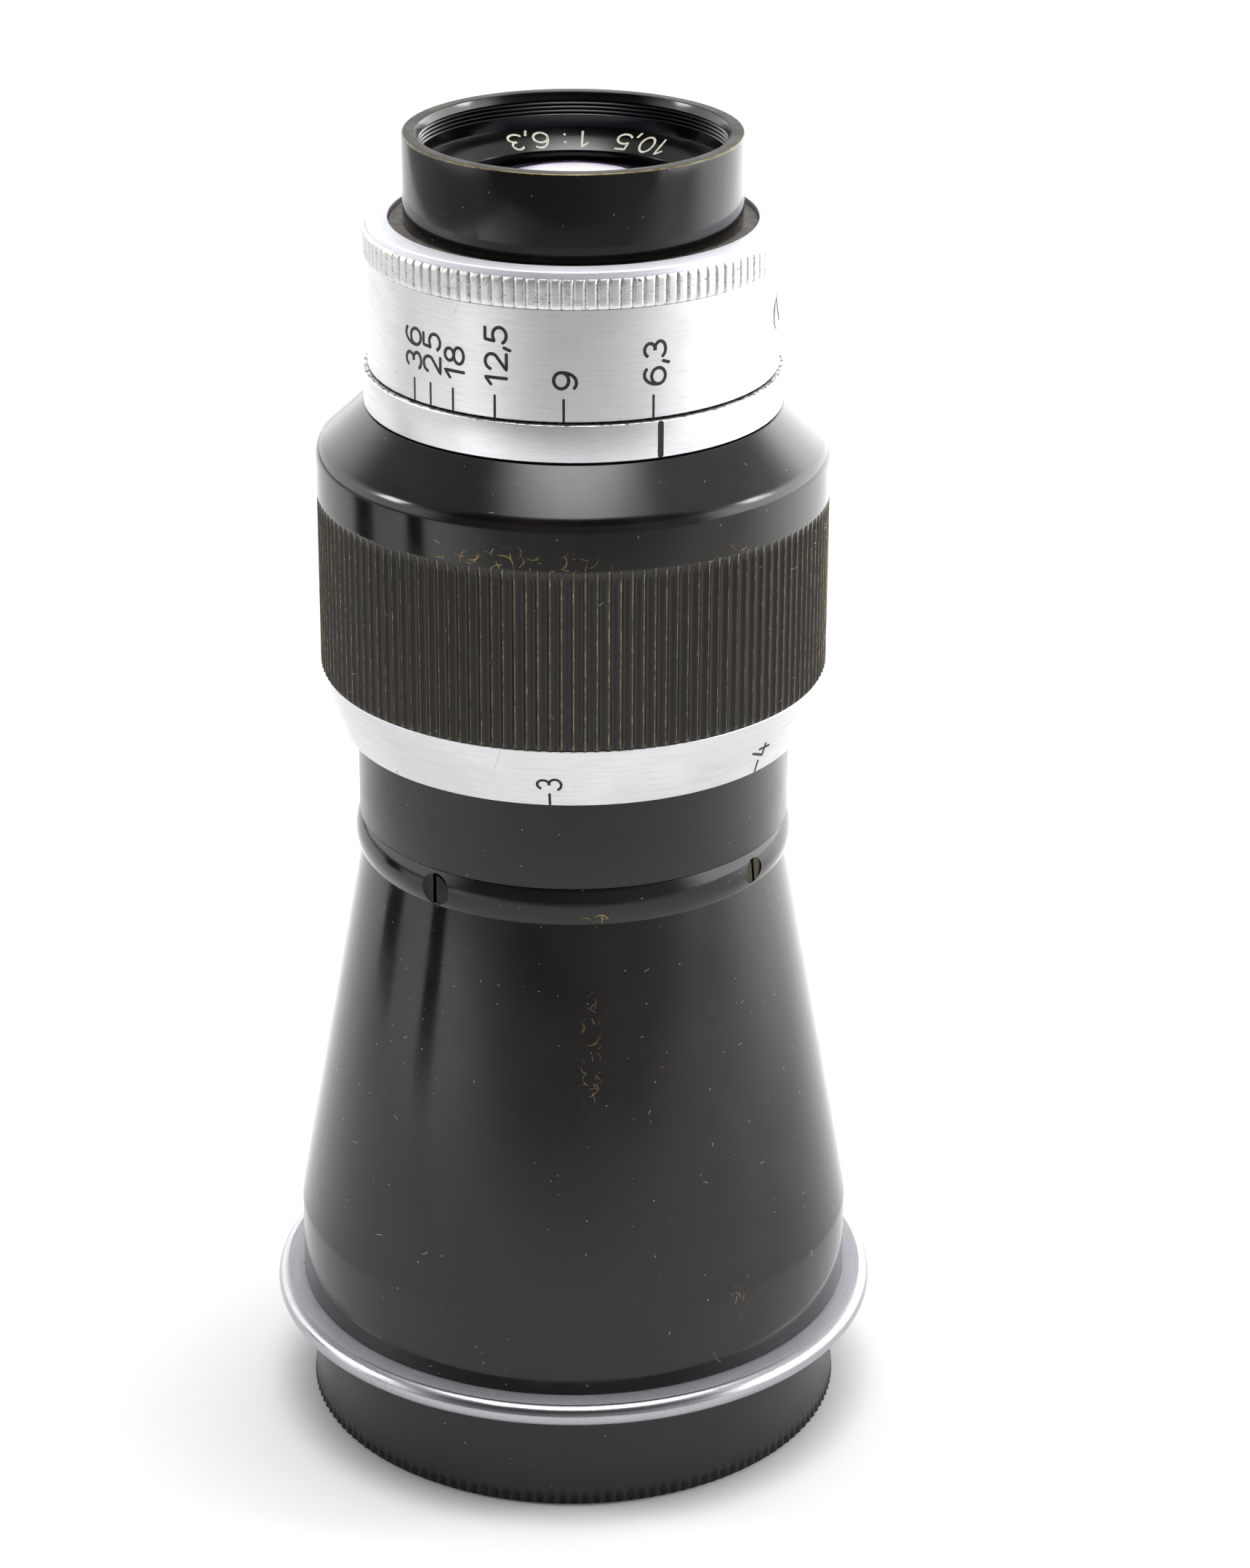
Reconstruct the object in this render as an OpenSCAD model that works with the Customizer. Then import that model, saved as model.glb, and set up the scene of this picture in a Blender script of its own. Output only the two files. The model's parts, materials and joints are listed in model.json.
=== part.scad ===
// Compact long-focus screw-mount camera lens, standing on its rear cap.
// Millimetres. The optical axis is Z, the rear cap rests on z = 0 and the front rim points up.
// Azimuths are measured from the front (-Y), positive towards +X (counter-clockwise from above).

/* [Rear cap] */
// Radius of the cap above its milled edge
cap_r = 21.1; // [20.8:0.1:21.6]
// Height of the cap
cap_h = 8.5; // [8.2:0.1:8.55]
// Thickness of the cap's floor
cap_floor = 0.8; // [0.6:0.1:0.9]
// Height of the milled edge at the bottom
cap_mill_h = 1.7; // [1:0.1:2]
// Ribs around the milled edge
cap_ribs = 150; // [120:10:180]

/* [Camera mount] */
// Height of the camera mounting face
mount_z = 8.57; // [8.56:0.01:8.6]
// Crest radius of the M39 x 26 tpi thread
thread_r = 19.5; // [19.4:0.05:19.5]
// Length of the mounting thread behind the flange
thread_len = 5.8; // [5:0.1:6]
// Outer radius of the chrome flange
flange_r = 24; // [23.5:0.1:24.5]
// Height of the flange's upper face
flange_top_z = 10.4; // [10.3:0.05:10.6]

/* [Tail] */
// Radius of the straight foot of the tail
tail_r = 21.87; // [21.6:0.01:22]
// Height where the foot turns into the cone
tail_foot_z = 17.03; // [16.5:0.01:17.5]
// Radius at the small end of the cone
tail_top_r = 16.5; // [16.4:0.05:16.6]
// Height where the cone meets the bead
bead_low_z = 47.79; // [47.7:0.01:47.9]
// Height of the bead's upper edge
bead_top_z = 50.7; // [50.6:0.01:50.8]
// Largest radius of the bead
bead_r = 16.94; // [16.9:0.01:17.1]
// Outer radius of the neck tube
neck_r = 16.6; // [16.5:0.05:16.6]

/* [Focusing] */
// Travel of the head in one full turn of the focusing sleeve
focus_lead = 6.8; // [6:0.1:7]
// Height of the distance ring's lower edge
dist_low_z = 58; // [57.8:0.05:58.2]
// Radius of the distance ring's lower edge
dist_low_r = 17.7; // [17.5:0.05:17.8]
// Height of the grip's lower edge
grip_low_z = 62.87; // [62.6:0.01:63]
// Height of the grip's upper edge
grip_top_z = 76.79; // [76.5:0.01:77]
// Crest radius of the grip's flutes
grip_r = 19.32; // [19.2:0.02:19.5]
// Flutes around the grip
grip_flutes = 142; // [120:2:160]
// Height where the sleeve's band rounds into the shoulder
shoulder_z = 79.7; // [79.4:0.1:79.9]
// Radius of the smooth band and start of the shoulder
band_r = 19.35; // [19.3:0.01:19.5]

/* [Index ring] */
// Lower face of the chrome index ring
index_low_z = 83.71; // [83.7:0.01:83.8]
// Upper face of the chrome index ring
index_top_z = 86.51; // [86.4:0.01:86.55]
// Outer radius of the index ring
index_r = 15.66; // [15.5:0.01:15.8]
// Azimuth of the aperture index line
index_az = 23.5; // [0:0.5:60]

/* [Aperture ring] */
// Lower face of the aperture ring
ap_low_z = 86.64; // [86.6:0.01:86.7]
// Height where the knurled flange starts
ap_knurl_low_z = 95.01; // [94.8:0.01:95.2]
// Height where the knurled flange ends
ap_knurl_top_z = 97.06; // [96.9:0.01:97.2]
// Upper face of the aperture ring
ap_top_z = 97.7; // [97.6:0.01:97.8]
// Radius of the engraved band
ap_r = 15.3; // [15.2:0.01:15.4]
// Crest radius of the knurl
ap_knurl_r = 15.53; // [15.45:0.01:15.7]
// Ribs around the aperture ring's knurl
ap_ribs = 114; // [90:2:130]
// Azimuth of the screw that couples the ring to the iris
ap_screw_az = 78; // [70:1:86]

/* [Front] */
// Height of the front rim
rim_z = 104; // [103.8:0.1:104.4]
// Outer radius of the front rim
rim_r = 12.55; // [12.5:0.01:12.6]
// Bore radius of the front filter thread
filter_r = 11.32; // [11.2:0.01:11.4]
// Depth of the filter bore down to the name ring
filter_depth = 2.7; // [2.5:0.1:2.8]

/* [Iris] */
// Radius of the opening between the open blades
iris_open_r = 7.35; // [7.2:0.05:7.4]
// Radius of the circle of blade pivots
blade_pivot_r = 10.8; // [10.7:0.05:10.9]
// Turn of a blade from wide open to stopped down
blade_swing = 32.5; // [28:0.5:33]
// Turn of the aperture ring from wide open to stopped down
ap_swing = 72.1; // [70:0.1:75]

/* [Hidden] */
$fn = 96;
eps = 0.01;                               // overlap or gap that keeps two faces from coinciding
cut = 1;                                  // overrun of every cutting tool
run_gap = 0.05;                           // radial clearance of running fits
slot_gap = 0.09;                          // clearance of a drive pin in its slot
seat_gap = 0.02;                          // radial clearance of screwed and seated parts

thread_depth = 0.5;                       // of the mounting thread
thread_pitch = 25.4 / 26;
mount_bore_r = 17.3;                      // bore that guides the rangefinder cam tube
cam_reach = 6.97;                         // how far the cam stands behind the mounting face
key_screw_r = 0.9;                        // screw in the mount that keeps the cam from turning
key_pin_r = 0.65;
collar_r = 20.4;                          // mount collar screwed into the tail's foot
collar_top_z = tail_foot_z - 0.7;
cam_key_z = (flange_top_z + collar_top_z) / 2;
tail_wall = 1.5;
spigot_r = 15.6;                          // neck spigot screwed into the tail
spigot_low_z = 43.6;
neck_bore_r = 14.6;
neck_top_z = 74.5;
neck_screw_z = (bead_low_z + bead_top_z) / 2;
neck_screw_az = [-38, 142];
neck_screw_head_r = 1.22;
neck_screw_r = 0.7;
set_screw_az = [54, -126];
set_screw_r = 1;
set_screw_foot_r = 15.3;                  // the set screws bite part way into the spigot
helicoid_r = 13.45;                       // crest radius of the focusing thread
helicoid_bore_r = 12.6;
helicoid_low_z = 60.5;                    // fixed nut of the focusing thread
helicoid_high_z = 73.5;
journal_r = 13;                           // rear journal that carries the straight-guide ring
guide_low_z = 52.5;
guide_high_z = 55.5;
guide_az = 180;
guide_screw_z = (guide_low_z + guide_high_z) / 2;
guide_screw_r = 0.9;                      // head of the guide screw, sliding in the neck's groove
guide_shank_r = 0.7;
key_groove_r = 15.2;
sleeve_bore_r = 18;
barrel_r = 13.6;
barrel_base_z = 80.65;                    // where the barrel sits on the inner helicoid
barrel_top_z = 97.3;
iris_bore_r = 12;
rear_cell_r = 11;
ap_screw_z = 91.3;
ap_screw_r = 0.55;
ap_screw_head_r = 1.3;
ap_screw_seat = 0.7;                      // depth of the screw head's seat in the aperture ring
name_bore_r = filter_r - 0.22;            // bore that holds the name ring
name_ring_h = 2;
front_glass_r = 9.6;
front_seat_z = 97.2;                      // shoulder of the front cell under the front element
second_glass_r = 8.2;
second_low_z = 93.9;
cement_z = 86;                            // vertex of the cemented face of the rear doublet
cement_r = 20;
doublet_r = 8.5;
retainer_wall = 0.7;
iris_base_z = 88;
iris_base_t = 0.8;
blade_low_z = iris_base_z + iris_base_t + 0.1;
blade_t = 0.05;
blade_outer_r = 11.3;
blade_span = 134;                         // degrees of arc from pivot end to tail
blade_heel = 4;                           // degrees of arc behind the pivot
blade_rise = 0.013;                       // climb per degree, so that each blade lies over the next
blade_pad = 2.5;                          // degrees of arc that stay level around each pin
blade_pin_az = 130;                       // drive pin, degrees ahead of the pivot
blade_pin_r = 0.4;
blade_count = 10;
blade_phase = 20;                         // angle of blade 0's pivot from +X
drive_low_z = 90.66;
drive_top_z = 92.06;

// point at radius r and angle a
function polar(r, a) = [r * cos(a), r * sin(a)];
// sag of a spherical face of radius R at height y from the axis
function sag(R, y) = R - sqrt(R * R - y * y);
// points across a lens face from the axis to the rim; a negative R is hollow towards +Z
function lens_face(z, R, r, steps = 14) =
    [for (i = [0:steps]) let (y = r * i / steps) [y, z - sign(R) * sag(abs(R), y)]];
function reversed(list) = [for (i = [len(list) - 1:-1:0]) list[i]];
// V grooves of a thread, as profile points from z0 up to z1
function grooves(r, depth, pitch, z0, z1) =
    [for (i = [0:floor((z1 - z0) / pitch) - 1]) let (z = z0 + i * pitch)
        each [[r, z], [r, z + pitch * 0.3], [r - depth, z + pitch * 0.65]]];

// turned part from a half profile
module turned(profile) rotate_extrude() polygon(profile);

module tube(r_out, r_in, z0, z1)
    turned([[r_in, z0], [r_out, z0], [r_out, z1], [r_in, z1]]);

// bar of radius r along the radius at azimuth az and height z, from radius r0 to r1
module radial_bar(az, z, r, r0, r1)
    rotate([0, 0, az - 90]) translate([r0, 0, z]) rotate([0, 90, 0]) cylinder(r = r, h = r1 - r0);

// slotted screw pointing to the axis: shank from r0 to head_r0, head up to r1
module radial_screw(az, z, shank, head, r0, head_r0, r1, slot_w, slot_turn)
    difference() {
        union() {
            radial_bar(az, z, shank, r0, head_r0);
            radial_bar(az, z, head, head_r0, r1);
        }
        rotate([0, 0, az - 90]) translate([r1, 0, z]) rotate([slot_turn, 0, 0])
            cube([0.7, slot_w, 4 * head], center = true);
    }

// prism with raised ribs: ribs teeth between radii r_low and r_high
module ribbed(r_low, r_high, ribs, z0, z1, flat = 0.5) {
    pitch = 360 / ribs;
    slope = (1 - flat) / 4;
    translate([0, 0, z0]) linear_extrude(z1 - z0) polygon(
        [for (i = [0:ribs - 1]) let (a = i * pitch)
            each [polar(r_low, a), polar(r_high, a + slope * pitch),
                  polar(r_high, a + (slope + flat) * pitch),
                  polar(r_low, a + (2 * slope + flat) * pitch)]]);
}

// prism with hollow flutes that meet in narrow crests
module fluted(r_crest, depth, flutes, z0, z1) {
    pitch = 360 / flutes;
    hollow = [0.08, 0.27, 0.5, 0.73, 0.92];
    translate([0, 0, z0]) linear_extrude(z1 - z0) polygon(
        [for (i = [0:flutes - 1], h = hollow)
            polar(r_crest - depth * sin(180 * (h - 0.08) / 0.84), (i + h) * pitch)]);
}

// ---- rear cap ----
module rear_cap() {
    inner_r = thread_r + run_gap + 0.05;
    cavity_r = inner_r - 1;
    cavity_top = mount_z - thread_len - 0.6;
    color([0.06, 0.06, 0.06]) difference() {
        union() {
            ribbed(cap_r - 0.15, cap_r + 0.15, cap_ribs, 0, cap_mill_h);
            tube(cap_r, 1, cap_mill_h, cap_h);
        }
        turned([[0, cap_floor], [cavity_r, cap_floor], [cavity_r, cavity_top],
                [inner_r, cavity_top], [inner_r, cap_h + cut], [0, cap_h + cut]]);
    }
}

// ---- camera mount and tail ----
module mount_flange() {
    edge_r = 0.93;
    thread_low = mount_z - thread_len;
    steps = 12;
    mid_z = (mount_z + flange_top_z) / 2;
    half_t = (flange_top_z - mount_z) / 2;
    color([0.8, 0.8, 0.82]) difference() {
        turned(concat(
            [[mount_bore_r, thread_low]],
            grooves(thread_r, thread_depth, thread_pitch, thread_low + 0.2, mount_z - 0.4),
            [[thread_r - thread_depth, mount_z - 0.4], [thread_r - thread_depth, mount_z]],
            [for (i = [0:steps]) let (a = -90 + 180 * i / steps)
                [flange_r - edge_r + edge_r * cos(a), mid_z + half_t * sin(a)]],
            [[collar_r, flange_top_z], [collar_r, collar_top_z], [mount_bore_r, collar_top_z]]));
        radial_bar(guide_az, cam_key_z, key_screw_r + seat_gap, mount_bore_r - cut, collar_r + cut);
    }
}

// cone outside radius at height z
function tail_outer(z) =
    tail_r + (tail_top_r - tail_r) * (z - tail_foot_z) / (bead_low_z - tail_foot_z);

module tail_cone() {
    inner_low_z = tail_foot_z + 1;
    inner_top_z = spigot_low_z - 1;
    bead_steps = 10;
    color([0.07, 0.065, 0.06]) difference() {
        turned(concat(
            [[collar_r + seat_gap, flange_top_z], [tail_r, flange_top_z], [tail_r, tail_foot_z],
             [tail_top_r, bead_low_z]],
            [for (i = [0:bead_steps]) let (t = i / bead_steps)
                [tail_top_r + 0.08 + (bead_r - tail_top_r - 0.08) * sin(180 * t),
                 bead_low_z + (bead_top_z - bead_low_z) * t]],
            [[spigot_r + seat_gap, bead_top_z], [spigot_r + seat_gap, spigot_low_z],
             [tail_outer(inner_top_z) - tail_wall, inner_top_z],
             [tail_outer(inner_low_z) - tail_wall, inner_low_z],
             [collar_r + seat_gap, collar_top_z + 0.2]]));
        for (az = neck_screw_az)
            radial_bar(az, neck_screw_z, neck_screw_head_r + seat_gap, spigot_r - cut, bead_r + cut);
        for (az = set_screw_az)
            radial_bar(az, neck_screw_z, set_screw_r + seat_gap, spigot_r - cut, bead_r + cut);
    }
}

module neck_tube() {
    color([0.05, 0.05, 0.05]) difference() {
        turned([[neck_bore_r, spigot_low_z], [spigot_r, spigot_low_z], [spigot_r, bead_top_z + eps],
                [neck_r, bead_top_z + eps], [neck_r, neck_top_z], [neck_bore_r, neck_top_z]]);
        // straight groove that the guide screw slides in
        rotate([0, 0, guide_az - 90]) translate([0, -guide_screw_r - run_gap, spigot_low_z - cut])
            cube([key_groove_r, 2 * (guide_screw_r + run_gap), helicoid_low_z - spigot_low_z + cut]);
        for (az = neck_screw_az)
            radial_bar(az, neck_screw_z, neck_screw_r + seat_gap, neck_bore_r - cut, neck_r);
        for (az = set_screw_az)
            radial_bar(az, neck_screw_z, set_screw_r + seat_gap, set_screw_foot_r - 0.1, neck_r);
    }
}

module neck_screws()
    color([0.1, 0.1, 0.1]) for (az = neck_screw_az)
        radial_screw(az, neck_screw_z, neck_screw_r, neck_screw_head_r, neck_bore_r + 0.1,
                     spigot_r + 0.1, bead_r - 0.04, 0.3, 0);

module neck_set_screws()
    color([0.35, 0.3, 0.2]) for (az = set_screw_az)
        radial_screw(az, neck_screw_z, set_screw_r, set_screw_r, set_screw_foot_r, 16,
                     bead_r - 0.14, 0.28, 8);

module outer_helicoid()
    color([0.72, 0.58, 0.3])
        tube(neck_bore_r - seat_gap, helicoid_r + run_gap, helicoid_low_z, helicoid_high_z);

// ---- rangefinder cam ----
module cam_tube() {
    outer_r = mount_bore_r - run_gap;
    wall = 0.95;
    foot_z = mount_z - cam_reach;
    slot_half = key_pin_r + run_gap;
    cone_low = 20;
    cone_high = 44;
    collar_low = 45.5;
    collar_high = 48.5;
    neck_out = neck_bore_r - 0.3;
    color([0.75, 0.6, 0.32]) difference() {
        turned([[outer_r - wall, foot_z], [outer_r, foot_z], [outer_r, cone_low],
                [neck_out, cone_high], [neck_out, collar_high],
                [journal_r + run_gap, collar_high], [journal_r + run_gap, collar_low],
                [neck_out - wall, cone_high], [outer_r - wall, cone_low]]);
        // straight slot for the key screw
        rotate([0, 0, guide_az - 90]) translate([outer_r - wall - cut, -slot_half, cam_key_z - 2])
            cube([wall + 2 * cut, 2 * slot_half, 4]);
    }
}

module cam_key_screw()
    color([0.5, 0.5, 0.5])
        union() {
            radial_bar(guide_az, cam_key_z, key_screw_r, mount_bore_r + 0.1, collar_r - 0.1);
            radial_bar(guide_az, cam_key_z, key_pin_r, mount_bore_r - 0.9, mount_bore_r + 0.2);
        }

// ---- straight-guide ring ----
module guide_ring()
    color([0.75, 0.6, 0.32]) difference() {
        tube(neck_bore_r - 0.2, journal_r + run_gap, guide_low_z, guide_high_z);
        radial_bar(guide_az, guide_screw_z, guide_shank_r + seat_gap, journal_r - cut, neck_bore_r + cut);
    }

module guide_screw()
    color([0.5, 0.5, 0.5]) union() {
        radial_bar(guide_az, guide_screw_z, guide_shank_r, journal_r + 0.15, neck_bore_r - 0.1);
        radial_bar(guide_az, guide_screw_z, guide_screw_r, neck_bore_r - 0.15, key_groove_r - 0.1);
    }

// ---- focusing head ----
module inner_helicoid() {
    flange_low = 79;
    color([0.72, 0.58, 0.3])
        turned(concat(
            [[helicoid_bore_r, 42.5], [journal_r, 42.5], [journal_r, guide_high_z + 0.1],
             [neck_bore_r - 0.6, guide_high_z + 0.1], [neck_bore_r - 0.6, guide_high_z + 1.3]],
            grooves(helicoid_r, 0.35, 1.1, guide_high_z + 1.3, flange_low - 0.6),
            [[helicoid_r - 0.35, flange_low - 0.3], [helicoid_r - 0.35, flange_low],
             [sleeve_bore_r - 1, flange_low], [sleeve_bore_r - 1, barrel_base_z - 0.05],
             [helicoid_bore_r, barrel_base_z - 0.05]]));
}

module guide_lock_ring()
    color([0.7, 0.56, 0.3])
        tube(neck_bore_r - 0.6, journal_r + seat_gap, guide_low_z - 1.3, guide_low_z - 0.1);

module distance_ring() {
    spigot_top = grip_low_z + 3;
    bore = neck_r + run_gap + 0.01;
    spigot = sleeve_bore_r - seat_gap;
    color([0.82, 0.82, 0.83])
        turned([[bore, dist_low_z], [dist_low_r, dist_low_z], [grip_r - 0.1, grip_low_z - eps],
                [spigot, grip_low_z - eps], [spigot, spigot_top], [bore, spigot_top]]);
}

module focus_sleeve() {
    shoulder_r = index_r + 0.02;
    round_r = 1.3;
    web_z = barrel_base_z;
    // shoulder from the band's rounded edge up to the index ring
    slope = atan2(index_low_z - shoulder_z - 0.8, band_r - shoulder_r);
    color([0.07, 0.065, 0.06]) difference() {
        union() {
            fluted(grip_r, 0.24, grip_flutes, grip_low_z, grip_top_z);
            turned(concat(
                [[barrel_r, grip_top_z], [band_r, grip_top_z]],
                [for (i = [0:8]) let (a = (90 - slope) * i / 8)
                    [band_r - round_r + round_r * cos(a), shoulder_z + round_r * sin(a)]],
                [[shoulder_r + 0.3, index_low_z - 0.3], [shoulder_r - 0.3, index_low_z - 0.02],
                 [barrel_r, index_low_z - 0.02]]));
        }
        translate([0, 0, grip_low_z - cut])
            cylinder(r = sleeve_bore_r, h = web_z - grip_low_z + cut);
        cylinder(r = barrel_r + seat_gap, h = rim_z);
    }
}

module index_ring()
    color([0.85, 0.85, 0.86]) difference() {
        tube(index_r, barrel_r + seat_gap, index_low_z, index_top_z);
        rotate([0, 0, index_az - 90]) translate([index_r - 0.15, -0.23, index_low_z - cut])
            cube([cut, 0.46, index_top_z - index_low_z + 2 * cut]);
    }

module head_barrel() {
    tail_z = 72;
    slot_h = 2 * (ap_screw_r + 0.1);
    slot_half = asin((ap_screw_r + 0.15) / iris_bore_r);
    color([0.12, 0.12, 0.12]) difference() {
        turned([[rear_cell_r + seat_gap, tail_z], [helicoid_bore_r - seat_gap, tail_z],
                [helicoid_bore_r - seat_gap, barrel_base_z], [barrel_r, barrel_base_z],
                [barrel_r, barrel_top_z], [iris_bore_r, barrel_top_z],
                [iris_bore_r, iris_base_z], [rear_cell_r + seat_gap, iris_base_z]]);
        // two windows in which the aperture screws travel
        for (az = [ap_screw_az, ap_screw_az + 180])
            rotate([0, 0, az - 90 - slot_half]) translate([0, 0, ap_screw_z - slot_h / 2])
                rotate_extrude(angle = ap_swing + 2 * slot_half)
                    translate([iris_bore_r - cut, 0]) square([barrel_r - iris_bore_r + 2 * cut, slot_h]);
    }
}

module baffle_ring()
    color([0.03, 0.03, 0.03])
        turned([[helicoid_bore_r - seat_gap, 60], [helicoid_bore_r - seat_gap, 62],
                [11.6, 62], [10.8, 61], [10.8, 60.6], [11.6, 60]]);

// ---- optics ----
module front_cell() {
    seat_r = front_glass_r + run_gap;
    shelf_z = rim_z - filter_depth - name_ring_h - run_gap;
    inner_seat_r = second_glass_r + run_gap;
    lip_z = 95.9;                         // stop for the second element
    lip_r = second_glass_r - 0.5;
    undercut = 0.45;
    groove_pitch = 0.3;
    groove_top = 0.6;
    rim_round = 0.12;
    color([0.05, 0.05, 0.05])
        turned(concat(
            [[inner_seat_r, drive_top_z + 0.1], [iris_bore_r - seat_gap, drive_top_z + 0.1],
             [iris_bore_r - seat_gap, barrel_top_z + run_gap],
             [rim_r - undercut, barrel_top_z + run_gap],
             [rim_r - undercut, ap_top_z + 0.15], [rim_r, ap_top_z + 0.15],
             [rim_r, rim_z - rim_round], [rim_r - rim_round, rim_z],
             [filter_r + 0.2, rim_z], [filter_r, rim_z - 0.2]],
            [for (i = [0:3]) let (z = rim_z - groove_top - i * groove_pitch)
                each [[filter_r, z], [filter_r + 0.14, z - 0.08], [filter_r, z - 0.16]]],
            [[filter_r, rim_z - filter_depth], [name_bore_r, rim_z - filter_depth],
             [name_bore_r, shelf_z], [seat_r, shelf_z], [seat_r, front_seat_z],
             [front_glass_r - 1, front_seat_z], [front_glass_r - 1, lip_z + 0.4],
             [lip_r, lip_z + 0.4], [lip_r, lip_z], [inner_seat_r, lip_z]]));
}

module name_ring() {
    top_z = rim_z - filter_depth;
    inner_r = 9;
    low_z = top_z - name_ring_h;
    color([0.04, 0.04, 0.04])
        turned([[inner_r + 0.4, low_z], [name_bore_r - seat_gap, low_z],
                [name_bore_r - seat_gap, top_z],
                [inner_r, top_z - 1.15], [inner_r, top_z - 1.35]]);
}

module front_element() {
    top = lens_face(100.6, 34, front_glass_r);
    bottom = lens_face(96.85, -100, front_glass_r);
    color([0.75, 0.8, 0.85, 0.4]) turned(concat(bottom, reversed(top)));
}

module second_element()
    color([0.75, 0.8, 0.85, 0.4])
        turned(concat(lens_face(second_low_z, 60, second_glass_r),
                      reversed(lens_face(95, -40, second_glass_r))));

module second_retainer()
    color([0.1, 0.1, 0.1])
        tube(second_glass_r, second_glass_r - retainer_wall, drive_top_z + 0.24, second_low_z - 0.65);

module rear_cell()
    color([0.08, 0.08, 0.08])
        turned([[doublet_r + run_gap, 80], [rear_cell_r, 80], [rear_cell_r, iris_base_z - 0.1],
                [7.9, iris_base_z - 0.1], [7.9, 87.3], [doublet_r + run_gap, 87.3]]);

module doublet_front()
    color([0.75, 0.8, 0.85, 0.4])
        turned(concat(lens_face(cement_z, cement_r, doublet_r),
                      reversed(lens_face(86.6, -60, doublet_r))));

module doublet_rear()
    color([0.75, 0.8, 0.85, 0.4])
        turned(concat(lens_face(82, -30, doublet_r),
                      reversed(lens_face(cement_z, cement_r, doublet_r))));

module rear_retainer()
    color([0.1, 0.1, 0.1]) tube(doublet_r, doublet_r - retainer_wall, 81.6, 82.85);

// ---- iris ----
module iris_base()
    color([0.1, 0.1, 0.1]) difference() {
        tube(iris_bore_r - seat_gap, iris_open_r + 0.25, iris_base_z, iris_base_z + iris_base_t);
        for (i = [0:blade_count - 1])
            translate(concat(polar(blade_pivot_r, blade_phase + i * 360 / blade_count), iris_base_z - cut))
                cylinder(r = blade_pin_r + run_gap, h = iris_base_t + 2 * cut, $fn = 32);
    }

// where blade 0's drive pin is, relative to the drive ring, after the ring has turned by a
function pin_in_ring(a) =
    let (swing = blade_swing * a / ap_swing,
         pivot = [blade_pivot_r, 0],
         arm = polar(blade_pivot_r, blade_pin_az) - pivot,
         p = pivot + [arm.x * cos(swing) - arm.y * sin(swing), arm.x * sin(swing) + arm.y * cos(swing)])
    [p.x * cos(a) + p.y * sin(a), p.y * cos(a) - p.x * sin(a)];

// slot for one drive pin: a strip with round ends along the pin's path to its innermost place,
// after which the pin comes a little way back along the same strip
module drive_slot() {
    half = blade_pin_r + slot_gap;
    steps = 6;
    round_steps = 8;
    innermost = ap_swing * (90 - blade_pin_az / 2) / blade_swing;
    path = [for (i = [0:steps]) pin_in_ring(innermost * i / steps)];
    heading = [for (i = [0:steps]) let (d = path[min(i + 1, steps)] - path[max(i - 1, 0)])
        atan2(d.y, d.x)];
    translate([0, 0, drive_low_z - cut]) linear_extrude(drive_top_z - drive_low_z + 2 * cut)
        polygon(concat(
            [for (i = [0:steps]) path[i] + polar(half, heading[i] - 90)],
            [for (k = [1:round_steps - 1])
                path[steps] + polar(half, heading[steps] - 90 + 180 * k / round_steps)],
            [for (i = [steps:-1:0]) path[i] + polar(half, heading[i] + 90)],
            [for (k = [1:round_steps - 1])
                path[0] + polar(half, heading[0] + 90 + 180 * k / round_steps)]));
}

module iris_drive_ring()
    color([0.7, 0.56, 0.3]) difference() {
        tube(iris_bore_r - run_gap, 8.1, drive_low_z, drive_top_z);
        for (i = [0:blade_count - 1]) rotate([0, 0, blade_phase + i * 360 / blade_count]) drive_slot();
        for (az = [ap_screw_az, ap_screw_az + 180])
            radial_bar(az, ap_screw_z, ap_screw_r + seat_gap, 10.8, iris_bore_r + cut);
    }

// height of a blade's lower face at arc angle u: level around both pins, climbing between them
function blade_z(u) =
    blade_low_z + blade_rise * (min(max(u, blade_pad), blade_pin_az - blade_pad) - blade_pad);

// thin crescent that climbs along its arc, with a pivot pin below and a drive pin above
module blade(index) {
    facets = 20;
    arc = concat(-blade_heel,
                 [for (i = [0:facets]) blade_pad + (blade_pin_az - 2 * blade_pad) * i / facets],
                 blade_span);
    points = [for (u = arc) let (inner = polar(iris_open_r, u), outer = polar(blade_outer_r, u))
        each [concat(inner, blade_z(u)), concat(outer, blade_z(u)),
              concat(outer, blade_z(u) + blade_t), concat(inner, blade_z(u) + blade_t)]];
    last = 4 * (len(arc) - 1);
    faces = concat(
        [[0, 2, 1], [0, 3, 2], [last, last + 1, last + 2], [last, last + 2, last + 3]],
        [for (i = [0:4:last - 4], k = [0:3]) let (n = (k + 1) % 4)
            each [[i + k, i + n, i + 4 + n], [i + k, i + 4 + n, i + 4 + k]]]);
    pivot_foot = iris_base_z + 0.15;
    drive_foot = blade_z(blade_pin_az) + blade_t / 2;
    color([0.2, 0.2, 0.22]) rotate([0, 0, blade_phase + index * 360 / blade_count]) union() {
        polyhedron(points, faces);
        translate([blade_pivot_r, 0, pivot_foot])
            cylinder(r = blade_pin_r, h = blade_low_z + blade_t / 2 - pivot_foot, $fn = 24);
        translate(concat(polar(blade_pivot_r, blade_pin_az), drive_foot))
            cylinder(r = blade_pin_r, h = drive_top_z - 0.3 - drive_foot, $fn = 24);
    }
}

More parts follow.
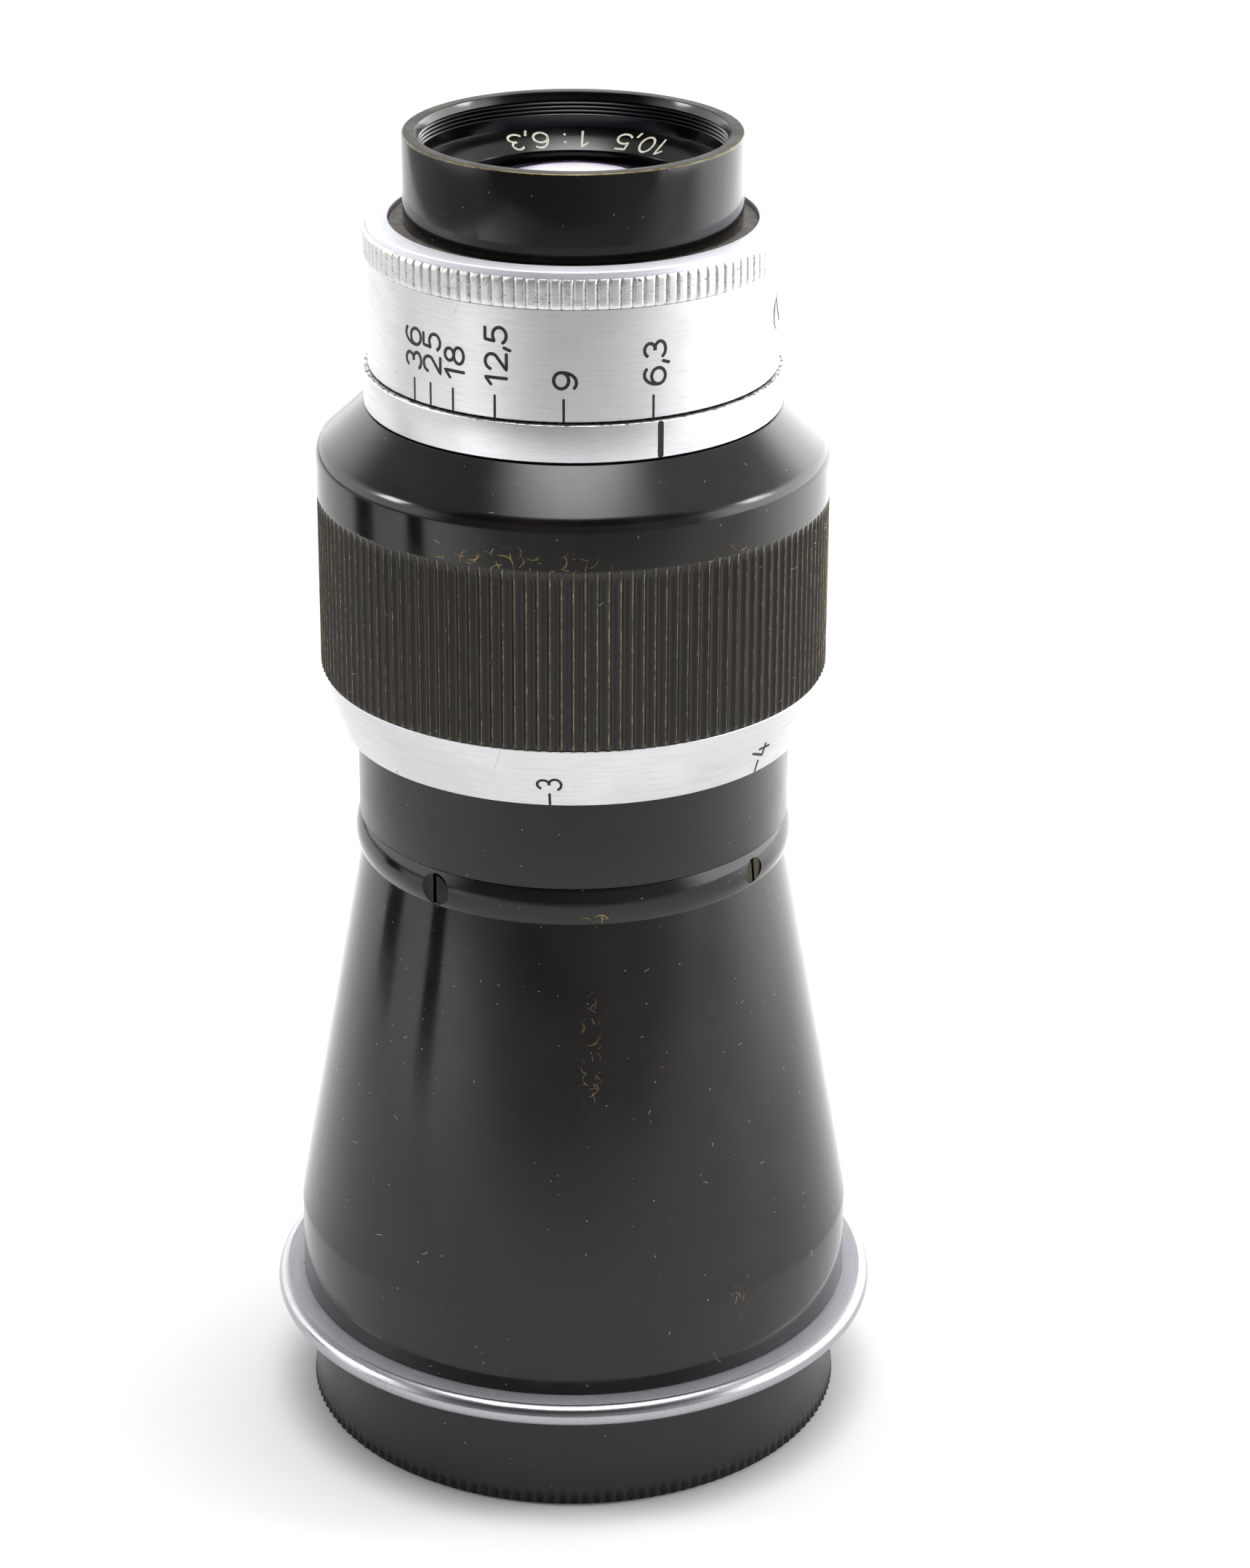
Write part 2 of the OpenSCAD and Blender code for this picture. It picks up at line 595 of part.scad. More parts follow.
// ---- aperture ring ----
module aperture_ring()
    color([0.86, 0.86, 0.87]) difference() {
        union() {
            tube(ap_r, barrel_r + run_gap, ap_low_z, ap_knurl_low_z + eps);
            ribbed(ap_r - 0.05, ap_knurl_r, ap_ribs, ap_knurl_low_z, ap_knurl_top_z);
            turned([[barrel_r + run_gap, ap_knurl_top_z], [ap_r, ap_knurl_top_z],
                    [ap_r - 0.1, ap_top_z - 0.15], [ap_r - 0.25, ap_top_z],
                    [barrel_r + run_gap, ap_top_z]]);
        }
        translate([0, 0, ap_low_z - cut])
            cylinder(r = barrel_r + run_gap, h = ap_top_z - ap_low_z + 2 * cut);
        for (az = [ap_screw_az, ap_screw_az + 180]) {
            radial_bar(az, ap_screw_z, ap_screw_r + seat_gap, barrel_r - cut, ap_r);
            radial_bar(az, ap_screw_z, ap_screw_head_r + seat_gap, ap_r - ap_screw_seat, ap_r + cut);
        }
    }

module aperture_screws()
    color([0.7, 0.7, 0.72]) for (az = [ap_screw_az, ap_screw_az + 180])
        radial_screw(az, ap_screw_z, ap_screw_r, ap_screw_head_r, 11,
                     ap_r - ap_screw_seat + seat_gap, ap_r + 0.03, 0.3, 35);

rear_cap();
mount_flange();
tail_cone();
neck_tube();
neck_screws();
neck_set_screws();
outer_helicoid();
cam_key_screw();
cam_tube();
guide_ring();
guide_screw();
inner_helicoid();
guide_lock_ring();
distance_ring();
focus_sleeve();
index_ring();
head_barrel();
baffle_ring();
front_cell();
name_ring();
front_element();
second_element();
second_retainer();
rear_cell();
doublet_front();
doublet_rear();
rear_retainer();
iris_base();
aperture_ring();
aperture_screws();
iris_drive_ring();
blade(0);  // iris_blade_0
blade(1);  // iris_blade_1
blade(2);  // iris_blade_2
blade(3);  // iris_blade_3
blade(4);  // iris_blade_4
blade(5);  // iris_blade_5
blade(6);  // iris_blade_6
blade(7);  // iris_blade_7
blade(8);  // iris_blade_8
blade(9);  // iris_blade_9
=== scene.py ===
"""Looks of the compact screw-mount lens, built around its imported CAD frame.

Shapes are written in millimetres around the optical axis Z and scaled as meshes are made.
Azimuths are degrees from the front (-Y), positive towards +X.
"""
import json
import math
import random

import bmesh
import bpy
from mathutils import Matrix, Vector, noise


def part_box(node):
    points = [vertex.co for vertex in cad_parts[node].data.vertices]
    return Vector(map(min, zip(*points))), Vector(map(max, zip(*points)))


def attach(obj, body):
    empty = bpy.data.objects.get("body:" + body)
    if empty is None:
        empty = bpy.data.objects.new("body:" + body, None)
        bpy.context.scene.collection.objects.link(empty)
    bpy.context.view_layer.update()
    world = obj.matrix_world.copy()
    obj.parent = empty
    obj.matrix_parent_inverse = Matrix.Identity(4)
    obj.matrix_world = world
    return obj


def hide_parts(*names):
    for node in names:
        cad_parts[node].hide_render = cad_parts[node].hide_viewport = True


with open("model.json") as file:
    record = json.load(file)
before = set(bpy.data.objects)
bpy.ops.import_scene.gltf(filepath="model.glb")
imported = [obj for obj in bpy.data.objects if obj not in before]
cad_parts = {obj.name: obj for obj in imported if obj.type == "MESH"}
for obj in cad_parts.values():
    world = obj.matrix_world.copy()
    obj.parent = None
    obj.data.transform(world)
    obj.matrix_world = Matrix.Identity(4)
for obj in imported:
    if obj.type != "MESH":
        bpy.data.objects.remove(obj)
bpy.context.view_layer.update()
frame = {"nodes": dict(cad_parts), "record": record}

MM = 0.001
AROUND = 288                 # columns of a plain turned piece
MEAN_R = 17.0                # radius at which the unrolled wear patterns keep their true size
random.seed(11)


# -------- sizes from the frame

def span(node):
    """Lowest height, highest height and outer radius of a CAD node, in millimetres."""
    low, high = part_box(node)
    return low.z / MM, high.z / MM, max(high.x, high.y) / MM


CAP_LOW, CAP_HIGH, CAP_KNURL_R = span("rear_cap")
MOUNT_LOW, MOUNT_HIGH, FLANGE_R = span("mount_flange")
TAIL_LOW, TAIL_HIGH, TAIL_R = span("tail_cone")
NECK_LOW, NECK_HIGH, NECK_R = span("neck_tube")
DIST_LOW, DIST_HIGH, DIST_R = span("distance_ring")
SLEEVE_LOW, SLEEVE_HIGH, SLEEVE_R = span("focus_sleeve")
INDEX_LOW, INDEX_HIGH, INDEX_R = span("index_ring")
_, BARREL_HIGH, BARREL_R = span("head_barrel")
RING_LOW, RING_HIGH, RING_KNURL_R = span("aperture_ring")
CELL_LOW, RIM_HIGH, RIM_R = span("front_cell")
NAME_LOW, NAME_HIGH, NAME_R = span("name_ring")
GLASS_LOW, GLASS_HIGH, _ = span("front_element")

CAP_R = CAP_KNURL_R - 0.15   # plain side of the rear cap
CAP_KNURL_H = 1.7            # height of the CAD's knurl, where the plain side starts
CAP_TEETH_H = 1.1            # height of the teeth that show
CAP_RIBS = 150
THREAD_R = 19.5              # outside of the mount's screw thread
THREAD_PITCH = 25.4 / 26
FLANGE_TOP = TAIL_LOW
FLANGE_LOW = CAP_HIGH + 0.07
MOUNT_BORE = 17.3
COLLAR_R = 20.4              # collar of the flange inside the tail
TAIL_FOOT = 17.03            # height where the foot turns into the cone
TAIL_TOP_R = 16.5
TAIL_BORE = 15.62            # bore of the tail around the neck
BEAD_LOW = 47.79
BEAD_R = 16.94
BEAD_SCREWS = ((-38, 1.24), (142, 1.24), (54, 1.02), (-126, 1.02))   # azimuth, hole radius
SCREW_Z = (BEAD_LOW + TAIL_HIGH) / 2
NECK_FOOT_R = 15.6           # thinner foot of the neck inside the tail
NECK_BORE = 14.6
NECK_INDEX_AZ = 86
DIST_LOW_R = 17.7            # lower edge of the distance ring
SLEEVE_BORE = 18.0
SLEEVE_SHELF = 80.65         # underside of the shoulder
SHOULDER_Z = 79.7
GRIP_HIGH = 76.79
FLUTES = 142
INDEX_AZ = 23.5
RING_BAND_R = 15.3           # engraved band of the aperture ring
RING_KNURL_LOW = 95.01
RING_KNURL_HIGH = 97.06
RING_RIBS = 114
APERTURE_SCREW_AZ = 78
APERTURE_SCREW_Z = 91.3
APERTURE_SCREW_HOLE = 1.36
FILTER_R = 11.32             # filter thread in the front rim
NAME_INNER_R = 9.0           # inner edge of the name ring's bevel
NAME_INNER_Z = NAME_HIGH - 1.15

FOCAL_LENGTH = 105
LEAD = 2 * math.pi / MM / next(c["ratio"] for c in frame["record"]["behaviour"]["couplings"]
                               if c["joint"] == "focus_turn")   # travel per turn of focusing


# -------- mesh tools

def unit(azimuth):
    """Horizontal direction at an azimuth."""
    a = math.radians(azimuth)
    return Vector((math.sin(a), -math.cos(a), 0))


def front_azimuth(turn):
    """Azimuth from -180 to 180 degrees of a turn in 0..1 around from the front."""
    return (360 * turn + 180) % 360 - 180


def make_piece(name, body, verts, faces, material, sharp=32, wear=()):
    """Closed smooth-shaded mesh piece from millimetre vertices, riding on a CAD body."""
    mesh = bpy.data.meshes.new(name)
    mesh.from_pydata([Vector(v) * MM for v in verts], [], faces)
    if wear:
        mesh.attributes.new("wear", "FLOAT", "POINT").data.foreach_set("value", wear)
    work = bmesh.new()
    work.from_mesh(mesh)
    bmesh.ops.remove_doubles(work, verts=work.verts, dist=1e-7)
    bmesh.ops.recalc_face_normals(work, faces=work.faces)
    work.to_mesh(mesh)
    work.free()
    mesh.polygons.foreach_set("use_smooth", [True] * len(mesh.polygons))
    mesh.set_sharp_from_angle(angle=math.radians(sharp))
    mesh.materials.append(material)
    piece = bpy.data.objects.new(name, mesh)
    bpy.context.scene.collection.objects.link(piece)
    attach(piece, body)
    return piece


def fillet(corners, steps=5):
    """Profile points from (r, z, radius) corners, each corner rounded by an arc of its radius."""
    points = []
    for i, (r, z, radius) in enumerate(corners):
        here = Vector((r, z))
        if radius <= 0:
            points.append(here)
            continue
        before = (Vector(corners[i - 1][:2]) - here).normalized()
        after = (Vector(corners[(i + 1) % len(corners)][:2]) - here).normalized()
        half = before.angle(after) / 2
        centre = here + (before + after).normalized() * radius / math.sin(half)
        start = here + before * radius / math.tan(half) - centre
        end = here + after * radius / math.tan(half) - centre
        first = math.atan2(start.y, start.x)
        turn = (math.atan2(end.y, end.x) - first + math.pi) % (2 * math.pi) - math.pi
        for k in range(steps + 1):
            a = first + turn * k / steps
            points.append(centre + radius * Vector((math.cos(a), math.sin(a))))
    return points


def lathe(name, body, profile, material, columns=AROUND, shape=None, wear=None, sharp=32):
    """Turned piece from a closed (r, z) profile.

    shape(r, z, turn) may move a point, with turn in 0..1 around from the front; wear gives 0..1.
    """
    verts, worn = [], []
    for r, z in profile:
        for j in range(columns):
            turn = j / columns
            r2, z2 = shape(r, z, turn) if shape else (r, z)
            direction = unit(360 * turn)
            verts.append((direction.x * r2, direction.y * r2, z2))
            worn.append(wear(r, z, turn) if wear else 0.0)
    rows = len(profile)
    faces = []
    for i in range(rows):
        low, high = i * columns, (i + 1) % rows * columns
        for j in range(columns):
            k = (j + 1) % columns
            faces.append((low + j, low + k, high + k, high + j))
    return make_piece(name, body, verts, faces, material, sharp, worn)


def drill(piece, azimuth, z, radius, r_low, r_high):
    """Cuts a radial hole into a piece and applies it."""
    work = bmesh.new()
    bmesh.ops.create_cone(work, cap_ends=True, segments=48, radius1=radius * MM,
                          radius2=radius * MM, depth=(r_high - r_low) * MM)
    cutter_mesh = bpy.data.meshes.new("cutter")
    work.to_mesh(cutter_mesh)
    work.free()
    cutter = bpy.data.objects.new("cutter", cutter_mesh)
    bpy.context.scene.collection.objects.link(cutter)
    out = unit(azimuth)
    cutter.rotation_mode = "QUATERNION"
    cutter.rotation_quaternion = out.to_track_quat("Z", "Y")
    cutter.location = (out * (r_low + r_high) / 2 + Vector((0, 0, z))) * MM
    cut = piece.modifiers.new("drill", "BOOLEAN")
    cut.operation = "DIFFERENCE"
    cut.solver = "EXACT"
    cut.object = cutter
    bpy.context.view_layer.update()
    graph = bpy.context.evaluated_depsgraph_get()
    result = bpy.data.meshes.new_from_object(piece.evaluated_get(graph))
    piece.modifiers.remove(cut)
    piece.data = result
    bpy.data.objects.remove(cutter)


def stand_in(node):
    """Lets a piece show in place of a CAD node by hiding the node."""
    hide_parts(node)


def recoat(piece, material, covers):
    """Gives a second material to the faces whose middle (r, z) is covered."""
    mesh = piece.data
    mesh.materials.append(material)
    for face in mesh.polygons:
        middle = face.center / MM
        if covers(math.hypot(middle.x, middle.y), middle.z):
            face.material_index = len(mesh.materials) - 1


# -------- shader tools

class Nodes:
    """Small helpers that add shader nodes to a tree and return their outputs."""

    def __init__(self, owner):
        owner.use_nodes = True
        self.tree = owner.node_tree
        self.tree.nodes.clear()

    def add(self, kind, inputs=None, **props):
        node = self.tree.nodes.new(kind)
        for key, value in props.items():
            setattr(node, key, value)
        for key, value in (inputs or {}).items():
            if isinstance(value, bpy.types.NodeSocket):
                self.tree.links.new(value, node.inputs[key])
            else:
                node.inputs[key].default_value = value
        return node

    def math(self, operation, a, b=0.0, clamp=False):
        return self.add("ShaderNodeMath", {0: a, 1: b}, operation=operation,
                        use_clamp=clamp).outputs[0]

    def times(self, a, b):
        return self.math("MULTIPLY", a, b)

    def plus(self, a, b, clamp=False):
        return self.math("ADD", a, b, clamp)

    def minus(self, a, b):
        return self.math("SUBTRACT", a, b)

    def size(self, a):
        """Absolute value."""
        return self.math("ABSOLUTE", a)

    def steps(self, value, low, high, out_low=0.0, out_high=1.0):
        """Smooth step of a value between low and high."""
        return self.add("ShaderNodeMapRange",
                        {0: value, 1: low, 2: high, 3: out_low, 4: out_high},
                        interpolation_type="SMOOTHSTEP").outputs[0]

    def seen(self):
        """1 where the camera sees the place itself, 0 where it lights or is mirrored."""
        return self.add("ShaderNodeLightPath").outputs["Is Camera Ray"]


class Shader(Nodes):
    """Node material built in code. Lengths in its coordinates are millimetres."""

    def __init__(self, name):
        self.material = bpy.data.materials.new(name)
        super().__init__(self.material)
        place = self.add("ShaderNodeTexCoord").outputs["Object"]
        self.place = self.vector("SCALE", place, scale=1 / MM)
        self.x, self.y, self.z = self.add("ShaderNodeSeparateXYZ", {0: self.place}).outputs

    def vector(self, operation, a, b=(0, 0, 0), scale=1.0):
        node = self.add("ShaderNodeVectorMath", {0: a, 1: b, 3: scale}, operation=operation)
        return node.outputs["Value" if operation == "LENGTH" else "Vector"]

    def radius(self):
        """Distance from the optical axis."""
        flat = self.add("ShaderNodeCombineXYZ", {0: self.x, 1: self.y}).outputs[0]
        return self.vector("LENGTH", flat)

    def worn(self):
        """The wear marked on the mesh."""
        return self.add("ShaderNodeAttribute", attribute_name="wear").outputs["Fac"]

    def mix(self, factor, a, b):
        """Mix of two colours."""
        node = self.add("ShaderNodeMix", {0: factor, 6: a, 7: b}, data_type="RGBA")
        return node.outputs[2]

    def blend(self, factor, a, b):
        """Mix of two numbers."""
        return self.add("ShaderNodeMix", {0: factor, 2: a, 3: b}).outputs[0]

    def cloud(self, scale, detail=4.0, rough=0.55, vector=None, seed=0.0):
        return self.add("ShaderNodeTexNoise",
                        {"Vector": vector or self.place, "W": seed, "Scale": scale,
                         "Detail": detail, "Roughness": rough},
                        noise_dimensions="4D").outputs[0]

    def unrolled(self, around, along):
        """Turned side laid flat: angle times around, way up the side times along."""
        angle = self.math("ARCTAN2", self.x, self.y)
        climb = self.minus(self.z, self.radius())
        return self.add("ShaderNodeCombineXYZ", {0: self.times(angle, around),
                                                 1: self.times(climb, along)}).outputs[0]

    def cells(self, size, seed):
        """Grid of scattered points over the unrolled side, about size apart.

        Gives the place, the grid's node and three random numbers of the nearest point.
        """
        side = self.vector("ADD", self.unrolled(MEAN_R, 1.0), (7.3 * seed, 4.1 * seed, 0))
        grid = self.add("ShaderNodeTexVoronoi", {"Vector": side, "Scale": 1 / size},
                        voronoi_dimensions="2D")
        return side, grid, self.add("ShaderNodeSeparateColor", {0: grid.outputs["Color"]}).outputs

    def specks(self, cell, radius, share, seed=0.0):
        """Round dots up to a radius, one in a share of the cells."""
        _, grid, (pick, spread, _) = self.cells(cell, seed)
        reach = self.times(self.plus(spread, 0.35), radius / cell)
        inside = self.minus(1.0, self.math("DIVIDE", grid.outputs["Distance"], reach))
        return self.times(self.steps(inside, 0.0, 0.45), self.math("LESS_THAN", pick, share))

    def hairs(self, cell, length, width, share, seed=0.0, bend=0.25):
        """Short curved strokes at any angle, one in a share of the cells."""
        side, grid, (pick, spread, angle) = self.cells(cell, seed)
        offset = self.vector("SUBTRACT", side, grid.outputs["Position"])
        turned = self.add("ShaderNodeVectorRotate",
                          {"Vector": offset, "Angle": self.times(angle, 2 * math.pi)},
                          rotation_type="Z_AXIS").outputs[0]
        along, across, _ = self.add("ShaderNodeSeparateXYZ", {0: turned}).outputs
        away = self.size(self.minus(across, self.times(self.times(along, along), bend)))
        reach = self.times(self.plus(spread, 0.2), length)
        inside = self.times(self.steps(away, width, width * 0.4),
                            self.math("LESS_THAN", self.size(along), reach))
        return self.times(inside, self.math("LESS_THAN", pick, share))

    def surface(self, inputs, height=None, strength=0.3, distance=0.05):
        if height is not None:
            inputs["Normal"] = self.add("ShaderNodeBump",
                                        {"Strength": strength, "Distance": distance * MM,
                                         "Height": height}).outputs[0]
        shader = self.add("ShaderNodeBsdfPrincipled", inputs).outputs[0]
        self.add("ShaderNodeOutputMaterial", {"Surface": shader})
        return self.material


def shade(color, factor):
    """The same colour made darker or lighter."""
    return tuple(c * factor for c in color[:3]) + (1,)


def grey(tone):
    return tone, tone, tone, 1


def cool(tone):
    """Grey with a trace of blue."""
    return tone, tone, tone * 1.005, 1


BRASS = (0.34, 0.25, 0.11, 1)
TARNISH = (0.10, 0.072, 0.03, 1)
LINT = (0.55, 0.55, 0.52, 1)
INK = (0.012, 0.012, 0.013, 1)


def paint(name, rough, body=(0.0026, 0.0023, 0.0021, 1), tint=(0.0075, 0.006, 0.005, 1),
          chips=2.2, dust=1.0, crest=BRASS):
    """Old black lacquer over brass: smudges, lint, flecks, and brass where wear is marked."""
    s = Shader(name)
    worn = s.worn()
    smudge = s.cloud(0.16, 5.0, 0.6)
    fine = s.cloud(2.2, 6.0, 0.65, seed=3.0)
    base = s.mix(s.steps(smudge, 0.35, 0.7), body, tint)
    lint = s.plus(s.specks(1.5, 0.050, 0.16 * dust),
                  s.hairs(4.0, 0.22, 0.024, 0.28 * dust, 5.0), True)
    base = s.mix(s.times(lint, 0.55), base, LINT)
    chip = s.steps(s.plus(worn, s.times(s.minus(fine, 0.5), chips)), 0.72, 0.80)
    flecks = s.plus(s.specks(2.2, 0.06, 0.13 * dust, 2.0),
                    s.hairs(10.0, 0.8, 0.024, 0.2, 9.0), True)
    cracks = s.math("MAXIMUM", s.hairs(1.1, 0.7, 0.05, 0.8, 4.0, 0.9),
                    s.hairs(0.8, 0.4, 0.04, 0.7, 3.0))
    cracks = s.times(cracks, s.steps(worn, 0.22, 0.40))
    chip = s.math("MAXIMUM", chip, s.math("MAXIMUM", s.times(flecks, 0.7), cracks))
    metal = s.mix(s.steps(s.cloud(1.3, 3.0, seed=6.0), 0.35, 0.65), TARNISH, crest)
    roughness = s.plus(s.times(s.steps(smudge, 0.3, 0.75), 0.10), rough)
    height = s.minus(s.times(fine, 0.10), s.times(chip, 0.5))
    return s.surface({"Base Color": s.mix(chip, base, metal),
                      "Roughness": s.blend(chip, roughness, 0.42),
                      "Specular IOR Level": 0.4, "Metallic": s.times(chip, 0.85)},
                     height, 0.25, 0.02)


def chrome(name, base=(0.80, 0.805, 0.82, 1), rough=0.24, brushed=0.2, pits=0.0, grime=0.0,
           direction_strength=0.55, scratches=0.15):
    """Chrome plate turned around the axis, with brushing, small pits, scratches and grime."""
    s = Shader(name)
    worn = s.worn()
    lines = s.cloud(1.0, 4.0, 0.72, s.unrolled(4.5, 7.0))
    broad = s.cloud(0.22, 4.0, seed=4.0)
    pit = s.times(s.specks(0.24, 0.085, 0.75, 1.0),
                  s.steps(s.plus(worn, s.cloud(1.1, 3.0)), 0.4, 0.75, 0.0, pits))
    rust = s.specks(4.5, 0.24, 0.35 * pits, 9.0)
    scratch = s.hairs(6.0, 1.6, 0.022, scratches, 6.0, 0.05)
    edge = s.plus(worn, s.times(s.cloud(2.6, 5.0, seed=7.0), 0.8))
    dirt = s.steps(edge, 0.75, 1.0, 0.0, 0.9)
    speck = s.specks(3.0, 0.09, 0.10 + grime, 12.0)
    color = s.mix(s.steps(broad, 0.3, 0.75), base, shade(base, 0.9))
    color = s.mix(s.times(s.steps(lines, 0.42, 0.68), 0.5), color, shade(base, 0.74))
    for share, mark in ((s.times(pit, 0.6), (0.16, 0.145, 0.14, 1)),
                        (s.times(rust, 0.85), (0.10, 0.05, 0.025, 1)),
                        (s.times(scratch, 0.6), (0.22, 0.21, 0.21, 1)),
                        (dirt, (0.045, 0.040, 0.022, 1)),
                        (s.times(speck, 0.6), (0.2, 0.19, 0.18, 1))):
        color = s.mix(share, color, mark)
    roughness = s.plus(s.plus(s.times(lines, brushed), rough), s.times(dirt, 0.35), True)
    height = s.minus(s.times(lines, 0.5), s.plus(s.times(pit, 1.5), s.plus(rust, scratch)))
    tangent = s.add("ShaderNodeTangent", direction_type="RADIAL", axis="Z").outputs[0]
    return s.surface({"Base Color": color, "Metallic": 1.0, "Roughness": roughness,
                      "Anisotropic": direction_strength, "Tangent": tangent}, height, 0.25, 0.01)


def turned_metal(name, bright, dull, rough):
    """Turned machine metal with fine tool lines and a film of old grease."""
    s = Shader(name)
    lines = s.cloud(1.0, 3.0, 0.65, s.unrolled(2.0, 18.0))
    film = s.cloud(0.35, 5.0, seed=2.0)
    color = s.mix(s.steps(film, 0.35, 0.7), bright, dull)
    color = s.mix(s.times(s.steps(lines, 0.5, 0.75), 0.3), color, dull)
    roughness = s.plus(s.times(s.plus(lines, film), 0.12), rough)
    return s.surface({"Base Color": color, "Metallic": 1.0, "Roughness": roughness}, lines,
                     0.3, 0.01)


def black_metal(name, rough=0.5, base=(0.012, 0.0118, 0.0115, 1), dusty=0.5):
    """Blackened or matte-painted inner metal with dust."""
    s = Shader(name)
    cloud = s.cloud(1.2, 6.0, 0.6)
    dust = s.specks(0.9, 0.09, 0.25 * dusty)
    color = s.mix(s.steps(cloud, 0.35, 0.75), base, shade(base, 2.4))
    color = s.mix(s.times(dust, 0.5), color, (0.3, 0.27, 0.2, 1))
    roughness = s.plus(s.times(cloud, 0.2), rough)
    return s.surface({"Base Color": color, "Roughness": roughness}, cloud, 0.35, 0.02)


def filled_mark(name, color, rough=0.6):
    """Paint pressed into an engraving, slightly uneven."""
    s = Shader(name)
    cloud = s.cloud(6.0, 4.0)
    uneven = s.mix(s.steps(cloud, 0.3, 0.75), color, shade(color, 0.55))
    return s.surface({"Base Color": uneven, "Roughness": s.blend(cloud, rough, rough + 0.15)},
                     cloud, 0.4, 0.01)


def glass(name, tint, coat, painted_glare_r=0.0):
    """Polished optical glass with dust and, up to a radius, a pale disc of painted reflection."""
    s = Shader(name)
    grain = s.specks(2.0, 0.06, 0.3)
    edge = s.add("ShaderNodeLayerWeight", {"Blend": 0.35}).outputs["Facing"]
    color = s.mix(s.steps(s.cloud(0.25, 3.0), 0.3, 0.7), tint, shade(tint, 0.97))
    radius = s.radius()
    # Painted reflection: up to the radius a pale disc in the tint colour takes the place of most
    # of the transmission; beyond it the glass takes the coat colour.
    painted_glare = s.steps(radius, painted_glare_r + 0.35, painted_glare_r - 0.35, 0.0, 0.85 if painted_glare_r else 0.0)
    color = s.mix(s.steps(radius, painted_glare_r - 1.4, painted_glare_r), color, coat)
    return s.surface({"Base Color": color, "Roughness": s.times(grain, 0.35),
                      "IOR": 1.61, "Transmission Weight": s.minus(1.0, painted_glare),
                      "Specular Tint": s.mix(edge, grey(1.0), coat)})


SEEN_TONE = 0.62             # what the camera sees of the paper; it reads as white in this light
PAPER_TONE = 0.62            # what the lens mirrors of it near by
RIGHT_TONE = 1.0             # further out on the right, beside and behind the lens
RIGHT_FRONT_TONE = 0.60      # and on the right towards the camera
LEFT_TONE = 0.64
LEFT_FRONT_TONE = 0.95
FAR_LEFT_TONE = 0.24
FRONT_SHADE = 0.66           # how far the paper falls into shade towards the camera
RIGHT_GLOW = 0.5             # extra light on the right and behind
BACK_GLOW = 0.3


def paper(name):
    """Pale sheet that looks plain, while the lens mirrors the light and shade laid over it."""
    s = Shader(name)
    color = s.mix(s.cloud(0.012, 2.0), cool(PAPER_TONE), cool(PAPER_TONE * 0.97))
    right = s.mix(s.steps(s.y, 60, -90), grey(RIGHT_TONE), grey(RIGHT_FRONT_TONE))
    left = s.mix(s.steps(s.y, 10, -80), grey(LEFT_TONE), grey(LEFT_FRONT_TONE))
    back = s.times(s.steps(s.y, 20, 130), s.steps(s.x, -140, 60, 0.04, 1.0))
    aside = s.size(s.math("DIVIDE", s.x, s.math("MINIMUM", s.y, -1)))
    front = s.times(s.times(s.steps(s.y, -110, -260), s.steps(aside, 2.4, 0.55)), FRONT_SHADE)
    for share, tone in ((s.steps(s.x, 90, 170), right), (s.steps(s.x, -110, -190), left),
                        (back, grey(1.0)), (s.steps(s.x, -275, -325), grey(FAR_LEFT_TONE)),
                        (front, grey(0.05)), (s.seen(), cool(SEEN_TONE))):
        color = s.mix(share, color, tone)
    glow = s.plus(s.times(back, BACK_GLOW),
                  s.times(s.steps(s.x, 150, 240), s.steps(s.y, -90, 60, 0.0, RIGHT_GLOW)))
    return s.surface({"Base Color": color, "Roughness": 0.9, "Specular IOR Level": 0.0,
                      "Emission Color": grey(1.0),
                      "Emission Strength": s.times(glow, s.minus(1.0, s.seen()))},
                     s.cloud(1.5, 3.0), 0.05, 0.02)


LACQUER = paint("glossy_black_lacquer", 0.12)
BEAD_LACQUER = paint("bead_black_lacquer", 0.09, (0.0020, 0.0019, 0.0018, 1),
                     (0.0040, 0.0036, 0.0032, 1))
BROWN_LACQUER = paint("browned_black_lacquer", 0.10, (0.0055, 0.0046, 0.0043, 1),
                      (0.0090, 0.0070, 0.0063, 1))
FLUTED_LACQUER = paint("fluted_black_lacquer", 0.28, (0.0085, 0.0071, 0.0057, 1),
                       (0.0135, 0.0110, 0.0080, 1), 1.1, 0.8, (0.26, 0.225, 0.13, 1))
SATIN_BLACK = paint("satin_black_lacquer", 0.28, (0.0056, 0.0050, 0.0046, 1),
                    (0.0082, 0.0071, 0.0063, 1), 1.8, 0.8)
RIM_LACQUER = paint("rim_black_lacquer", 0.09, (0.0018, 0.0016, 0.0014, 1),
                    (0.0036, 0.003, 0.0025, 1), 1.0, 0.5, (0.17, 0.16, 0.09, 1))
SATIN_CHROME = chrome("satin_chrome")
FROSTED_CHROME = chrome("frosted_chrome", (0.72, 0.72, 0.765, 1), 0.62, 0.1, 0.0, 0.05, 0.0)
KNURLED_CHROME = chrome("knurled_chrome", (0.76, 0.76, 0.755, 1), 0.36, 0.08, 0.9)
LIGHT_CHROME = chrome("light_satin_chrome", (0.67, 0.67, 0.68, 1), 0.33, 0.1, 0.0, 0.05,
                      scratches=0.3)
FLANGE_CHROME = chrome("polished_chrome", (0.43, 0.43, 0.455, 1), 0.2, 0.08, 0.25, 0.1, 0.35, 0.5)
DULL_CHROME = chrome("dull_turned_chrome", (0.38, 0.385, 0.41, 1), 0.55, 0.12, 0.3, 0.1, 0.0)
TURNED_BRASS = turned_metal("turned_brass", (0.55, 0.38, 0.15, 1), (0.30, 0.20, 0.08, 1), 0.22)
TURNED_STEEL = turned_metal("turned_steel", (0.50, 0.50, 0.50, 1), (0.30, 0.29, 0.28, 1), 0.25)
DARK_SCREW = turned_metal("blackened_screw", (0.03, 0.029, 0.028, 1), (0.012, 0.011, 0.01, 1),
                          0.2)
